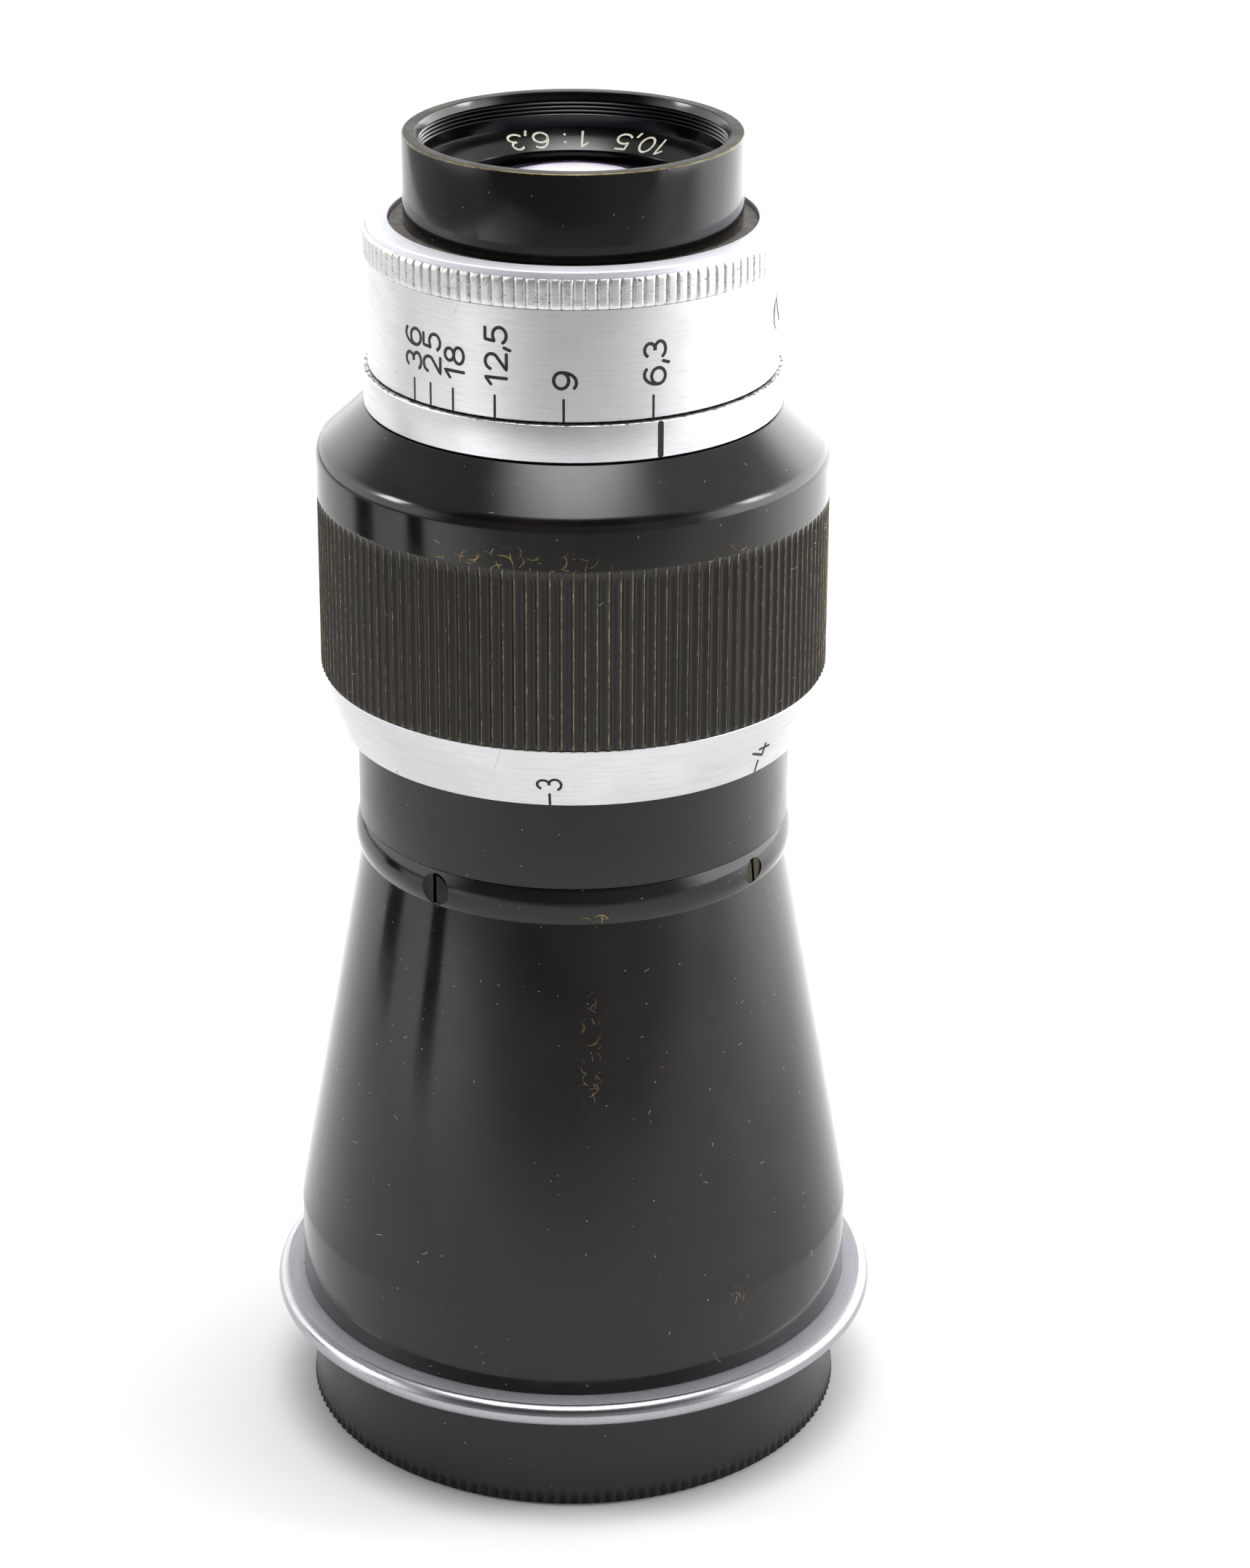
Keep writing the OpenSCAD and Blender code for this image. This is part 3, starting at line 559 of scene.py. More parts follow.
WORN_RIM = turned_metal("worn_rim", (0.040, 0.037, 0.030, 1), (0.012, 0.011, 0.010, 1), 0.42)
WORN_SCREW = turned_metal("worn_screw", (0.045, 0.036, 0.022, 1), (0.010, 0.008, 0.006, 1), 0.3)
BLADE_STEEL = turned_metal("iris_blade_steel", (0.05, 0.05, 0.055, 1),
                           (0.025, 0.025, 0.03, 1), 0.3)
MATTE_BLACK = black_metal("matte_black")
DUSTY_BLACK = black_metal("dusty_black", 0.6, (0.06, 0.055, 0.047, 1), 1.6)
INNER_GLOSS = paint("inner_black_lacquer", 0.12, (0.0012, 0.0012, 0.0012, 1),
                    (0.0022, 0.002, 0.0018, 1), 1.0, 0.1)
BLACK_FILL = filled_mark("black_engraving", INK)
CREAM_FILL = filled_mark("cream_engraving", (0.62, 0.60, 0.50, 1))
GREY_FILL = filled_mark("grey_engraving", (0.30, 0.30, 0.29, 1))
# the front glass carries a pale disc of painted reflection 5.2 mm in radius
FRONT_GLASS = glass("front_glass", (0.97, 0.95, 0.99, 1), (0.70, 0.60, 0.86, 1), 5.2)
INNER_GLASS = glass("inner_glass", (0.97, 0.97, 0.98, 1), (0.85, 0.85, 1.0, 1))
PAPER = paper("white_paper")


# -------- pieces

def ramp(value, low, high):
    """0 below low, 1 above high, linear between."""
    return min(max((value - low) / (high - low), 0.0), 1.0)


def rear_cap():
    """Cap with a plain side and short milled teeth along its lower edge."""
    cavity = THREAD_R + 0.1
    ledge, floor = 2.2, 0.8
    profile = fillet([
        (0.0, CAP_LOW, 0), (CAP_KNURL_R - 0.35, CAP_LOW, 0.0), (CAP_KNURL_R, CAP_LOW + 0.3, 0),
        (CAP_KNURL_R, 0.7, 0), (CAP_KNURL_R - 0.04, 1.0, 0), (CAP_KNURL_R - 0.1, 1.35, 0),
        (CAP_R, CAP_KNURL_H, 0), (CAP_R, 5.0, 0), (CAP_R, CAP_HIGH, 0.18),
        (cavity, CAP_HIGH, 0.1), (cavity, ledge, 0.1), (cavity - 1, ledge, 0.1),
        (cavity - 1, floor, 0.2), (0.0, floor, 0)])

    def crest(turn):
        return 0.5 - 0.5 * math.cos(2 * math.pi * (turn * CAP_RIBS % 1))

    def milled(r, z, turn):
        if not CAP_LOW < z < CAP_KNURL_H + 0.05 or r < CAP_R - 0.5:
            return r, z
        groove = 0.30 * (1 - crest(turn)) ** 1.3
        return r - groove * ramp(CAP_TEETH_H - z, 0, 0.35), z

    def wear(r, z, turn):
        return 0.1 + 0.1 * crest(turn) ** 2 if CAP_LOW <= z < CAP_KNURL_H + 0.05 else 0.1

    piece = lathe("rear_cap_turned", "cap", profile, SATIN_BLACK, CAP_RIBS * 8, milled, wear, 40)
    stand_in("rear_cap")


def mount_flange():
    """Polished flange with a half-round edge, the screw thread below it and the collar above."""
    half = (FLANGE_TOP - FLANGE_LOW) / 2
    middle = (FLANGE_TOP + FLANGE_LOW) / 2
    edge = [(FLANGE_R - half + half * math.cos(a), middle + half * math.sin(a))
            for a in (math.radians(-90 + 10 * i) for i in range(19))]
    root_r = THREAD_R - 0.5
    thread = []
    for i in range(int((FLANGE_LOW - 0.4 - MOUNT_LOW) / THREAD_PITCH)):
        z = MOUNT_LOW + 0.2 + i * THREAD_PITCH
        thread += [(root_r, z), (THREAD_R, z + THREAD_PITCH * 0.42),
                   (THREAD_R, z + THREAD_PITCH * 0.58)]
    profile = ([(MOUNT_BORE, MOUNT_LOW)] + thread
               + [(root_r, FLANGE_LOW - 0.35), (root_r, FLANGE_LOW)] + edge
               + [(TAIL_R + 0.3, FLANGE_TOP), (COLLAR_R, FLANGE_TOP),
                  (COLLAR_R, MOUNT_HIGH), (MOUNT_BORE, MOUNT_HIGH)])

    def on_top(r, z):
        return abs(z - FLANGE_TOP) < 0.01 and r < FLANGE_R - half + 0.1

    def wear(r, z, turn):
        inner = 0.62 * ramp(TAIL_R + 0.45 - r, 0, 0.35) if z > FLANGE_TOP - 0.01 else 0.0
        return max(inner, 0.25 if r > 21 else 0.35)

    piece = lathe("mount_flange_turned", "mount", profile, FLANGE_CHROME, wear=wear)
    drill(piece, 180, (FLANGE_TOP + MOUNT_HIGH) / 2, 0.92, MOUNT_BORE - 1, COLLAR_R + 1)
    recoat(piece, DULL_CHROME, on_top)
    stand_in("mount_flange")


def tail_cone():
    """Long black tail: foot, cone and the bead that carries the neck's screws."""
    bead = [(TAIL_TOP_R + 0.06 + (BEAD_R - TAIL_TOP_R - 0.06) * math.sin(math.pi * t) ** 0.8,
             BEAD_LOW + (TAIL_HIGH - BEAD_LOW) * t) for t in (i / 14 for i in range(15))]
    side = fillet([(COLLAR_R, TAIL_LOW, 0), (TAIL_R, TAIL_LOW, 0.12), (TAIL_R, TAIL_FOOT, 2.5),
                   (TAIL_TOP_R, BEAD_LOW, 0)])
    middle = [side[-2].lerp(side[-1], k / 10) for k in range(1, 10)]
    inner = [(TAIL_BORE, TAIL_HIGH), (TAIL_BORE, 43.6), (15.9, 42.6), (20.1, 18.0),
             (COLLAR_R, 16.5)]
    profile = side[:-1] + middle + side[-1:] + bead + inner

    def wear(r, z, turn):
        azimuth = front_azimuth(turn)
        patch = math.exp(-((azimuth - 4) / 3.5) ** 2 - ((z - 38) / 6.5) ** 2)
        foot = math.exp(-((azimuth - 36) / 7) ** 2 - ((z - 16.5) / 1.5) ** 2)
        bead = math.exp(-((azimuth - 7) / 5) ** 2 - ((z - SCREW_Z + 0.9) / 0.5) ** 2)
        return 0.08 + 0.33 * patch + 0.28 * foot + 0.45 * bead

    piece = lathe("tail_cone_turned", "mount", profile, BROWN_LACQUER, wear=wear)
    for azimuth, radius in BEAD_SCREWS:
        drill(piece, azimuth, SCREW_Z, radius, NECK_FOOT_R - 0.6, BEAD_R + 1.06)
    recoat(piece, BEAD_LACQUER, lambda r, z: z > BEAD_LOW and r > TAIL_TOP_R - 0.2)
    stand_in("tail_cone")


def neck_tube():
    foot_high = TAIL_HIGH + 0.01
    profile = fillet([(NECK_FOOT_R, NECK_LOW, 0), (NECK_FOOT_R, foot_high, 0),
                      (NECK_R, foot_high, 0.1), (NECK_R, 54, 0), (NECK_R, 58, 0),
                      (NECK_R, NECK_HIGH, 0.3), (NECK_BORE, NECK_HIGH, 0.2),
                      (NECK_BORE, NECK_LOW, 0)])
    piece = lathe("neck_tube_turned", "mount", profile, SATIN_BLACK,
                  wear=lambda r, z, turn: 0.1 if z > TAIL_HIGH + 0.3 else 0.25)
    for azimuth, radius in BEAD_SCREWS:
        drill(piece, azimuth, SCREW_Z, radius - 0.3, NECK_FOOT_R - 0.5, BEAD_R + 1.06)
    stand_in("neck_tube")


def distance_ring():
    bore = NECK_R + 0.06
    under_sleeve = SLEEVE_BORE - 0.02
    profile = fillet([(bore, DIST_LOW, 0.05), (DIST_LOW_R, DIST_LOW, 0.06),
                      (DIST_LOW_R + 0.5, DIST_LOW + 1.65, 0), (DIST_R, SLEEVE_LOW - 0.01, 0.05),
                      (under_sleeve, SLEEVE_LOW - 0.01, 0), (under_sleeve, DIST_HIGH, 0.2),
                      (bore, DIST_HIGH, 0.1)])
    piece = lathe("distance_ring_turned", "head", profile, LIGHT_CHROME,
                  wear=lambda r, z, turn: 0.30 * ramp(z, SLEEVE_LOW - 0.12, SLEEVE_LOW) + 0.05)
    stand_in("distance_ring")


def focus_sleeve():
    """Shoulder, smooth band and a grip of hollow flutes that run out under the band."""
    crest = SLEEVE_R - 0.03
    depth = 0.26
    run_out = 0.9
    outside = fillet([(SLEEVE_BORE, SLEEVE_LOW, 0), (SLEEVE_R, SLEEVE_LOW, 0.0),
                      (SLEEVE_R, SHOULDER_Z + 0.6, 1.5),
                      (INDEX_R + 0.05, SLEEVE_HIGH - 0.12, 0.25),
                      (INDEX_R - 0.5, SLEEVE_HIGH, 0), (BARREL_R + 0.02, SLEEVE_HIGH, 0)], 9)
    heights = ([SLEEVE_LOW + 0.18, SLEEVE_LOW + 0.4] + [SLEEVE_LOW + 2.0 * i for i in range(1, 7)]
               + [GRIP_HIGH - run_out + 0.12 * i for i in range(10)] + [GRIP_HIGH + 0.25])
    profile = (outside[:2] + [(SLEEVE_R, z) for z in sorted(heights)] + outside[2:]
               + [(BARREL_R + 0.02, SLEEVE_SHELF), (SLEEVE_BORE, SLEEVE_SHELF)])

    def hollow(turn):
        """Depth of the flute at this turn, 0 on the narrow crests."""
        phase = turn * FLUTES % 1
        across = min(max((phase - 0.07) / 0.86, 0), 1)
        return depth * (1 - (2 * across - 1) ** 2) ** 0.75

    def fluted(r, z, turn):
        if r < SLEEVE_R - 0.05 or z > GRIP_HIGH + 0.1:
            return r, z
        rise = depth * 1.25 * (1 - ramp(GRIP_HIGH - z, 0, run_out)) ** 2.2
        chamfer = 0.22 * ramp(SLEEVE_LOW + 0.2 - z, 0, 0.2)
        cut = max(hollow(turn) - rise, 0) + (SLEEVE_R - crest if z < GRIP_HIGH - 0.1 else 0)
        return r - max(cut, chamfer), z

    def wear(r, z, turn):
        azimuth = front_azimuth(turn)
        if z > GRIP_HIGH - 0.05 or r < SLEEVE_R - 0.05:
            zone = math.exp(-((z - GRIP_HIGH - 0.4) / 1.0) ** 2)
            middle = math.exp(-((azimuth + 12) / 22) ** 2)
            right = 0.6 * math.exp(-((azimuth - 38) / 9) ** 2)
            return 0.08 + 0.46 * zone * (middle + right)
        phase = turn * FLUTES % 1
        on_crest = ramp(abs(phase - 0.5), 0.40, 0.49)
        foot = ramp(SLEEVE_LOW + 0.25 - z, 0, 0.2)
        return 0.05 + on_crest * (1.0 + 0.5 * foot)

    piece = lathe("focus_sleeve_fluted", "head", profile, LACQUER, FLUTES * 10, fluted, wear, 50)
    recoat(piece, FLUTED_LACQUER, lambda r, z: z < GRIP_HIGH - 0.05)
    stand_in("focus_sleeve")


def index_ring():
    profile = fillet([(BARREL_R + 0.02, INDEX_LOW, 0), (INDEX_R, INDEX_LOW, 0.08),
                      (INDEX_R, INDEX_HIGH, 0.1), (BARREL_R + 0.02, INDEX_HIGH, 0)])
    piece = lathe("index_ring_turned", "head", profile, SATIN_CHROME,
                  wear=lambda r, z, turn: 0.42 * ramp(z, INDEX_HIGH - 0.2, INDEX_HIGH) + 0.05)
    stand_in("index_ring")


def aperture_ring():
    """Engraved band under a knurled flange with rounded, slightly uneven ribs."""
    bore = BARREL_R + 0.05
    top = fillet([(bore, RING_LOW, 0), (RING_BAND_R, RING_KNURL_HIGH, 0),
                  (RING_BAND_R - 0.02, RING_HIGH, 0.16), (bore, RING_HIGH, 0.08)])[1:]
    knurl = [RING_KNURL_LOW, RING_KNURL_LOW + 0.12, RING_KNURL_LOW + 0.3]
    knurl += [RING_KNURL_LOW + 0.3 + 0.29 * i for i in range(1, 5)]
    knurl += [RING_KNURL_HIGH - 0.2, RING_KNURL_HIGH - 0.05]
    profile = ([(bore, RING_LOW), (RING_BAND_R - 0.06, RING_LOW), (RING_BAND_R, RING_LOW + 0.06)]
               + [(RING_BAND_R, RING_LOW + 1.2 * i) for i in range(1, 7)]
               + [(RING_BAND_R, RING_KNURL_LOW - 0.1)]
               + [(RING_BAND_R - 0.12, RING_KNURL_LOW - 0.05)]
               + [(RING_KNURL_R, z) for z in knurl]
               + [(RING_KNURL_R - 0.2, RING_KNURL_HIGH + 0.12)] + top)
    rib_height = [0.12 + 0.05 * random.random() for _ in range(RING_RIBS)]

    def knurled(r, z, turn):
        if r < RING_KNURL_R - 0.05:
            return r, z
        rib = int(turn * RING_RIBS)
        phase = turn * RING_RIBS % 1
        wave = min(1.6 * abs(math.sin(math.pi * phase)), 1) ** 0.6
        ends = min(ramp(z, RING_KNURL_LOW - 0.05, RING_KNURL_LOW + 0.3),
                   ramp(RING_KNURL_HIGH + 0.1 - z, 0, 0.3))
        direction = unit(360 * turn) * 9
        rough = 0.018 * noise.noise(Vector((direction.x * 2, direction.y * 2, z * 2.2)))
        shrink = 0.10 * (1 - ends) ** 2
        return r - rib_height[rib] * (1 - wave) - shrink + rough - 0.012, z

    def wear(r, z, turn):
        if r < RING_KNURL_R - 0.05:
            return 0.45 * ramp(RING_LOW + 0.12 - z, 0, 0.12) + 0.05
        phase = turn * RING_RIBS % 1
        return 0.35 * (1 - abs(math.sin(math.pi * phase)) ** 0.5)

    piece = lathe("aperture_ring_knurled", "aperture", profile, SATIN_CHROME, RING_RIBS * 10,
                  knurled, wear, 35)
    recoat(piece, KNURLED_CHROME, lambda r, z: RING_KNURL_LOW - 0.02 < z < RING_KNURL_HIGH + 0.1)
    recoat(piece, FROSTED_CHROME, lambda r, z: z > RING_KNURL_HIGH + 0.1)
    for azimuth in (APERTURE_SCREW_AZ, APERTURE_SCREW_AZ + 180):
        drill(piece, azimuth, APERTURE_SCREW_Z, APERTURE_SCREW_HOLE, RING_BAND_R - 0.7,
              RING_BAND_R + 1)
    stand_in("aperture_ring")


def front_cell():
    """Glossy rim with a filter thread inside; its bore holds the name ring and the glasses."""
    name_bore = NAME_R + 0.02
    shelf = NAME_LOW - 0.05
    thread = []
    for i in range(4):
        z = RIM_HIGH - 0.6 - 0.3 * i
        thread += [(FILTER_R, z), (FILTER_R + 0.15, z - 0.07), (FILTER_R, z - 0.22)]
    foot_z = BARREL_HIGH + 0.05
    body_r, bore = 11.98, 8.25
    seat_z, stop_z = 97.2, 96.3
    outside = fillet([(bore, CELL_LOW, 0), (body_r, CELL_LOW, 0), (body_r, foot_z, 0),
                      (RIM_R - 0.45, foot_z, 0), (RIM_R - 0.45, foot_z + 0.08, 0),
                      (RIM_R, foot_z + 0.2, 0.04), (RIM_R, 100.5, 0), (RIM_R, RIM_HIGH, 0.17),
                      (FILTER_R + 0.25, RIM_HIGH, 0.1), (FILTER_R + 0.1, RIM_HIGH - 0.35, 0)])
    inside = [(FILTER_R, NAME_HIGH), (name_bore, NAME_HIGH), (name_bore, shelf), (9.65, shelf),
              (9.65, seat_z), (8.6, seat_z), (8.6, stop_z), (7.7, stop_z), (7.7, stop_z - 0.4),
              (bore, stop_z - 0.4)]
    def wear(r, z, turn):
        rim = ramp(z, RIM_HIGH - 0.17, RIM_HIGH - 0.05) * ramp(r, RIM_R - 0.35, RIM_R - 0.1)
        return 0.05 + 1.1 * rim * (0.75 + 0.25 * math.cos(2 * math.pi * turn))

    piece = lathe("front_cell_turned", "head", outside + thread + inside, RIM_LACQUER,
                  wear=wear, sharp=28)
    recoat(piece, WORN_RIM, lambda r, z: FILTER_R + 0.1 < r < RIM_R - 0.1 and z > RIM_HIGH - 0.1)
    recoat(piece, INNER_GLOSS, lambda r, z: r < FILTER_R + 0.2 and z < RIM_HIGH - 0.1)
    stand_in("front_cell")


def name_ring():
    profile = fillet([(NAME_INNER_R + 0.4, NAME_LOW, 0), (NAME_R, NAME_LOW, 0),
                      (NAME_R, NAME_HIGH, 0.05), (NAME_INNER_R, NAME_INNER_Z, 0.05),
                      (NAME_INNER_R, NAME_INNER_Z - 0.2, 0)])
    piece = lathe("name_ring_turned", "head", profile, INNER_GLOSS)
    stand_in("name_ring")


def lens(node, z_front, r_front, z_rear, r_rear, material):
    """Glass element with spherical faces; a positive radius bulges towards the front."""
    edge = span(node)[2]
    rings = 26

    def face(vertex, radius):
        points = []
        for i in range(rings + 1):
            r = edge * i / rings
            sag = abs(radius) - math.sqrt(radius ** 2 - r ** 2)
            points.append((r, vertex - math.copysign(sag, radius)))
        return points

    profile = face(z_front, r_front) + face(z_rear, r_rear)[::-1]
    piece = lathe(node + "_polished", "head", profile, material, 128, sharp=40)
    stand_in(node)


# -------- engraved marks

def arc(cx, cy, rx, ry, start, end, steps=14):
    """Points on an ellipse from start to end degrees."""
    return [(cx + rx * math.cos(math.radians(start + (end - start) * i / steps)),
             cy + ry * math.sin(math.radians(start + (end - start) * i / steps)))
            for i in range(steps + 1)]


# each glyph: width and strokes, in units of the digit height
GLYPHS = {
    "0": (0.66, [arc(0.33, 0.5, 0.33, 0.5, 0, 360, 28)]),
    "1": (0.30, [[(0.0, 0.74), (0.28, 1.0), (0.28, 0.0)]]),
    "2": (0.66, [arc(0.33, 0.68, 0.31, 0.32, 165, -35) + [(0.02, 0.0), (0.66, 0.0)]]),
    "3": (0.66, [arc(0.31, 0.745, 0.27, 0.255, 150, -90)
                 + arc(0.31, 0.26, 0.33, 0.26, 90, -150)]),
    "4": (0.68, [[(0.34, 1.0), (0.0, 0.30), (0.68, 0.30)], [(0.46, 0.62), (0.46, 0.0)]]),
    "5": (0.64, [[(0.58, 1.0), (0.12, 1.0), (0.07, 0.56)]
                 + arc(0.31, 0.32, 0.33, 0.32, 128, -150)]),
    "6": (0.66, [arc(0.41, 0.40, 0.41, 0.60, 188, 58), arc(0.33, 0.33, 0.33, 0.33, 0, 360, 24)]),
    "7": (0.60, [[(0.0, 1.0), (0.60, 1.0), (0.20, 0.0)]]),
    "8": (0.66, [arc(0.33, 0.76, 0.25, 0.24, 0, 360, 22),
                 arc(0.33, 0.26, 0.33, 0.26, 0, 360, 24)]),
    "9": (0.66, [arc(0.25, 0.60, 0.41, 0.60, 8, -122), arc(0.33, 0.67, 0.33, 0.33, 0, 360, 24)]),
    ",": (0.12, [[(0.10, 0.10), (0.02, -0.16)]]),
    " ": (0.0, []),
    ":": (0.12, [[(0.06, 0.16), (0.06, 0.20)], [(0.06, 0.68), (0.06, 0.72)]]),
    "inf": (1.2, [arc(0.3, 0.5, 0.3, 0.24, 0, 360, 24), arc(0.9, 0.5, 0.3, 0.24, 0, 360, 24)]),
}


def text_strokes(text, height, gap=0.30, stretch=1.0):
    """Strokes of a text in millimetres, baseline at y = 0, and its length."""
    x, strokes = 0.0, []
    for glyph in text:
        width, lines = GLYPHS[glyph]
        tight = 0.14 if glyph == "," else 0.0
        x -= tight
        strokes += [[((x + px) * height * stretch, py * height) for px, py in line]
                    for line in lines]
        x += width + gap - tight
    return strokes, (x - gap) * height * stretch


def moved(strokes, back, down, squeeze=1.0):
    return [[((x - back) * squeeze, y - down) for x, y in line] for line in strokes]


def tick(low, high):
    return [[(0, low), (0, high)]]


def resample(line, step):
    """The same path with points no further apart than step, and its corners kept."""
    points = [Vector(line[0])]
    for a, b in zip(line, line[1:]):
        a, b = Vector(a), Vector(b)
        count = max(1, math.ceil((b - a).length / step))
        points += [a.lerp(b, k / count) for k in range(1, count + 1)]
    return points


def round_end(section, sign):
    """Narrowing sections beyond a ribbon's end."""
    p, heading, half = section
    return [(p + heading * sign * half * math.sin(a), heading, half * math.cos(a) + 0.004)
            for a in (math.radians(28), math.radians(56), math.radians(88))]


def engrave(name, body, lines, place, width, material=BLACK_FILL):
    """Filled engraving: every line becomes a thin closed ribbon with round ends on the surface.

    place(x, y) gives a point on the surface and its outward normal.
    """
    lift, sink = 0.006, 0.05
    verts, faces = [], []
    for line in lines:
        points = resample(line, 0.12)
        closed = (points[0] - points[-1]).length < 1e-6
        last = len(points) - 1
        sections = []
        for i, p in enumerate(points):
            ahead = points[i + 1] if i < last else (points[1] if closed else p)
            behind = points[i - 1] if i else (points[-2] if closed else p)
            sections.append((p, (ahead - behind).normalized(), width / 2))
        if not closed:
            sections = (round_end(sections[0], -1)[::-1] + sections
                        + round_end(sections[-1], 1))
        start = len(verts)
        for p, heading, half in sections:
            side = Vector((-heading.y, heading.x)) * half
            for edge, rise in ((side, lift), (-side, lift), (-side, -sink), (side, -sink)):
                point, normal = place(p.x + edge.x, p.y + edge.y)
                verts.append(point + normal * rise)
        end = start + 4 * (len(sections) - 1)
        for a in range(start, end, 4):
            faces += [(a + k, a + (k + 1) % 4, a + 4 + (k + 1) % 4, a + 4 + k) for k in range(4)]
        if not closed:
            faces += [(start + 3, start + 2, start + 1, start), (end, end + 1, end + 2, end + 3)]
    piece = make_piece(name, body, verts, faces, material, 30)


def upright(azimuth, z0, radius_at, slope=0.0):
    """Placement that reads upwards: x runs up the side, y runs towards smaller azimuths."""
    place = plain(azimuth, z0, radius_at, slope)
    return lambda x, y: place(-y, x)


def plain(azimuth, z0, radius_at, slope=0.0):
    """Placement with x around the ring towards larger azimuths and y up the side."""
    def place(x, y):
        z = z0 + y
        radius = radius_at(z)
        out = unit(azimuth + math.degrees(x / radius))
        normal = (out + Vector((0, 0, slope))).normalized()
        return out * radius + Vector((0, 0, z)), normal
    return place


def aperture_scale():
    height, stroke = 1.62, 0.25
    tick_high = RING_LOW + 1.78
    text_low = tick_high + 0.62
    for number, azimuth, aside in (("36", -48.4, -0.06), ("25", -42.1, 0.16), ("18", -34.3, 0.14),
                                   ("12,5", -21.5, 0.1), ("9", -2.6, 0.1), ("6,3", 21.9, 0.1)):
        label = number.replace(",", "_")
        strokes, _ = text_strokes(number, height, 0.3, 1.12)
        engrave("f_number_" + label, "aperture", moved(strokes, 0, height / 2 + aside),
                upright(azimuth, text_low + stroke / 2, lambda z: RING_BAND_R), stroke)
        engrave("f_tick_" + label, "aperture", tick(0.12, tick_high - RING_LOW - 0.09),
                plain(azimuth, RING_LOW, lambda z: RING_BAND_R), 0.19)
    engrave("aperture_index_line", "head", tick(0.24, INDEX_HIGH - INDEX_LOW - 0.24),
            plain(INDEX_AZ, INDEX_LOW, lambda z: INDEX_R), 0.46)


def distance_scale():
    """Marks from the focusing law: the extension at each distance and the thread's lead."""
    height, stroke, squeeze = 1.78, 0.2, 0.82
    first_mark, first_azimuth = 4, 49.7
    slope = (DIST_R - DIST_LOW_R) / (SLEEVE_LOW - DIST_LOW)

    def radius_at(z):
        return DIST_LOW_R + slope * (z - DIST_LOW)

    def extension(metres):
        return FOCAL_LENGTH ** 2 / (metres * 1000 - 2 * FOCAL_LENGTH - 3) if metres else 0.0

    for label, metres in (("2,2", 2.2), ("3", 3), ("4", 4), ("5", 5), ("7", 7), ("10", 10),
                          ("20", 20), ("inf", 0)):
        azimuth = first_azimuth + (extension(first_mark) - extension(metres)) / LEAD * 360
        glyphs = ["inf"] if label == "inf" else list(label)
        strokes, _ = text_strokes(glyphs, height)
        low = DIST_LOW + (1.42 if len(glyphs) == 1 else 1.3)
        name = label.replace(",", "_")
        engrave("metre_number_" + name, "head", moved(strokes, 0, height / 2, squeeze),
                upright(azimuth, low, radius_at, -slope), stroke)
        engrave("metre_tick_" + name, "head", tick(0.12, 1.0),
                plain(azimuth, DIST_LOW, radius_at, -slope), 0.2)
    engrave("focus_index_line", "mount", tick(2.9, 8.4),
            plain(NECK_INDEX_AZ, TAIL_HIGH, lambda z: NECK_R), 0.26, GREY_FILL)


def name_ring_numbers():
    """Speed and focal length as plain numbers, tops towards the axis."""
    height, stroke = 1.42, 0.17
    drop = (NAME_HIGH - NAME_INNER_Z) / (NAME_R - NAME_INNER_R)
    base_r = NAME_INNER_R + 0.3 + height
    normal_z = 1 / math.hypot(1, drop)

    def placed(azimuth):
        def place(x, y):
            radius = base_r - y
            out = unit(azimuth + math.degrees(x / (base_r - height / 2)))
            z = NAME_INNER_Z + drop * (radius - NAME_INNER_R)
            return (out * radius + Vector((0, 0, z)),
                    (Vector((0, 0, 1)) - out * drop) * normal_z)
        return place

    for name, text, azimuth in (("speed", "1 : 6,3", 191), ("focal_length", "10,5", 149)):
        strokes, length = text_strokes(text, height, 0.36, 1.15)
        engrave("name_ring_" + name, "head", moved(strokes, length / 2, 0), placed(azimuth),
                stroke, CREAM_FILL)


# -------- carried-over CAD nodes

CARRIED = (
    (TURNED_BRASS, "outer_helicoid inner_helicoid cam_tube guide_ring guide_lock_ring"),
    (TURNED_BRASS, "iris_drive_ring"),
    (TURNED_STEEL, "cam_key_screw guide_screw aperture_screws"),
    (DARK_SCREW, "neck_screws"), (WORN_SCREW, "neck_set_screws"), (DUSTY_BLACK, "head_barrel"),
    (MATTE_BLACK, "baffle_ring second_retainer rear_cell rear_retainer iris_base"),
    (BLADE_STEEL, " ".join(f"iris_blade_{i}" for i in range(10))),
)


def finish_nodes():
    for material, nodes in CARRIED:
        for node in nodes.split():
            data = frame["nodes"][node].data
            data.materials.clear()
            data.materials.append(material)


rear_cap()
mount_flange()
tail_cone()
neck_tube()
distance_ring()
focus_sleeve()
index_ring()
aperture_ring()
front_cell()
name_ring()
lens("front_element", GLASS_HIGH, 34, GLASS_LOW, -100, FRONT_GLASS)
lens("second_element", 95.0, -40, 93.9, 60, INNER_GLASS)
lens("doublet_front", 86.6, -60, 86.0, 20, INNER_GLASS)
lens("doublet_rear", 86.0, 20, 82.0, -30, INNER_GLASS)
aperture_scale()
distance_scale()
name_ring_numbers()
finish_nodes()


# -------- stage, light and camera

FLOOR = (-700, -335, 700, 900)
# dark cards hidden from the camera: painted shade that shows only in reflections
SHADE_CARDS = {"left_shade_card_back": ((-172, 14), (-160, 52)),
         "left_shade_card_front": ((-179, -80), (-175, -48))}
CARD_HEIGHT = 36
WALL_LEFT = 2.2              # brightness of the tent's sides
WALL_RIGHT = 5.0
UPPER_WALL = 0.22            # share of that brightness left above the height of a lamp
ROOF = 9.5                   # extra brightness of its roof
SOFTBOX = 18.0               # extra brightness of the lamps behind the side walls
SOFTBOX_HEIGHT = 28          # their elevation and azimuth in degrees
SOFTBOX_AZ = 93
OPENING_WIDTH = 64           # half width in degrees of the opening on the camera's side
OPENING_SHADE = 0.90


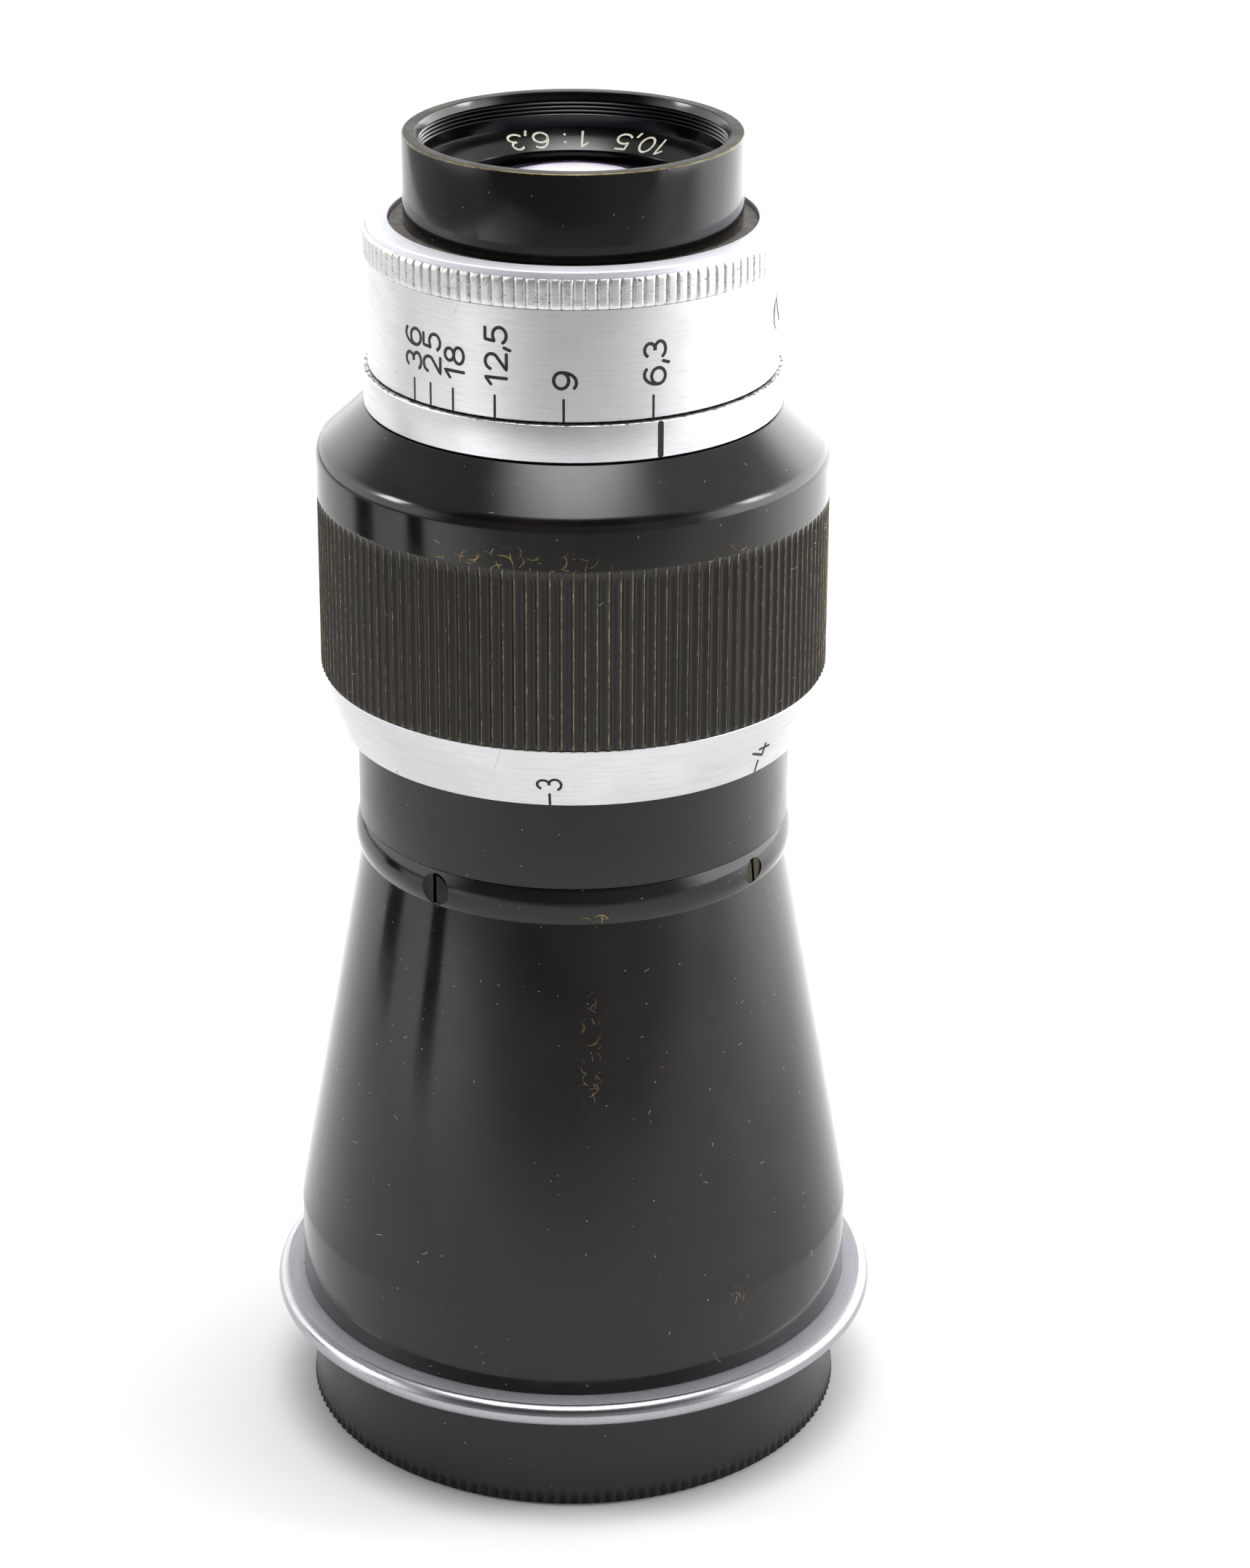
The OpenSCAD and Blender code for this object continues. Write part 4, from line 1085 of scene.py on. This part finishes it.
def sheet(name, corners, material):
    """Flat sheet of the stage with its corners in millimetres."""
    mesh = bpy.data.meshes.new(name)
    mesh.from_pydata([Vector(c) * MM for c in corners], [], [(0, 1, 2, 3)])
    mesh.materials.append(material)
    piece = bpy.data.objects.new(name, mesh)
    bpy.context.scene.collection.objects.link(piece)
    return piece


# near-black material of the cards that paint shade into the reflections
def painted_shade(name, color):
    s = Shader(name)
    return s.surface({"Base Color": s.mix(s.cloud(0.2, 3.0), color, shade(color, 2)),
                      "Roughness": 0.9, "Specular IOR Level": 0.0})


def stage():
    """Pale floor, and dark cards on the left as painted shade that only the lacquer mirrors."""
    x0, y0, x1, y1 = FLOOR
    sheet("floor", ((x0, y0, 0), (x1, y0, 0), (x1, y1, 0), (x0, y1, 0)), PAPER)
    for name, (a, b) in SHADE_CARDS.items():
        corners = ((*a, 0), (*b, 0), (*b, CARD_HEIGHT), (*a, CARD_HEIGHT))
        card = sheet(name, corners, painted_shade(name + "_cloth", grey(0.01)))
        card.visible_camera = False


def sky():
    """White tent with a bright roof and a dark opening on the camera's side."""
    world = bpy.data.worlds.new("tent")
    bpy.context.scene.world = world
    s = Nodes(world)
    direction = s.add("ShaderNodeTexCoord").outputs["Generated"]
    x, y, z = s.add("ShaderNodeSeparateXYZ", {0: direction}).outputs
    elevation = s.times(s.math("ARCSINE", z), 180 / math.pi)
    azimuth = s.times(s.size(s.math("ARCTAN2", x, s.times(y, -1))), 180 / math.pi)
    roof = s.steps(elevation, 64, 80, 0.0, ROOF)
    boxes = s.times(s.steps(s.size(s.minus(azimuth, SOFTBOX_AZ)), 9, 5),
                    s.steps(s.size(s.minus(elevation, SOFTBOX_HEIGHT)), 9, 5, 0.0, SOFTBOX))
    opening = s.times(s.steps(azimuth, OPENING_WIDTH + 11, OPENING_WIDTH - 11),
                      s.steps(elevation, 70, 56))
    sides = s.times(s.steps(x, -0.4, 0.9, WALL_LEFT, WALL_RIGHT),
                    s.steps(elevation, 20, 36, 1.0, UPPER_WALL))
    light = s.times(s.plus(s.plus(sides, roof), boxes),
                    s.minus(1.0, s.times(opening, OPENING_SHADE)))
    seen = s.seen()
    light = s.plus(s.times(light, s.minus(1.0, seen)), seen)
    background = s.add("ShaderNodeBackground", {"Color": grey(1.0), "Strength": light})
    s.add("ShaderNodeOutputWorld", {"Surface": background.outputs[0]})


CAMERA_DISTANCE = 298.6
CAMERA_HEIGHT = 180.3
CAMERA_YAW = math.radians(0.767)
CAMERA_PITCH = math.radians(23.228)
CAMERA_ROLL = math.radians(0.279)
CAMERA_LENS = 95.98


def camera():
    forward = Vector((math.sin(CAMERA_YAW) * math.cos(CAMERA_PITCH),
                      math.cos(CAMERA_YAW) * math.cos(CAMERA_PITCH), -math.sin(CAMERA_PITCH)))
    level = forward.cross(Vector((0, 0, 1))).normalized()
    up = level.cross(forward)
    right = level * math.cos(CAMERA_ROLL) + up * math.sin(CAMERA_ROLL)
    top = up * math.cos(CAMERA_ROLL) - level * math.sin(CAMERA_ROLL)
    data = bpy.data.cameras.new("camera")
    data.lens = CAMERA_LENS
    data.sensor_width = 36
    data.clip_start = 0.01
    view = bpy.data.objects.new("camera", data)
    place = Matrix((right, top, -forward)).transposed().to_4x4()
    place.translation = Vector((0, -CAMERA_DISTANCE, CAMERA_HEIGHT)) * MM
    view.matrix_world = place
    bpy.context.scene.collection.objects.link(view)
    bpy.context.scene.camera = view


stage()
sky()
camera()
bpy.context.scene.view_settings.view_transform = "Standard"
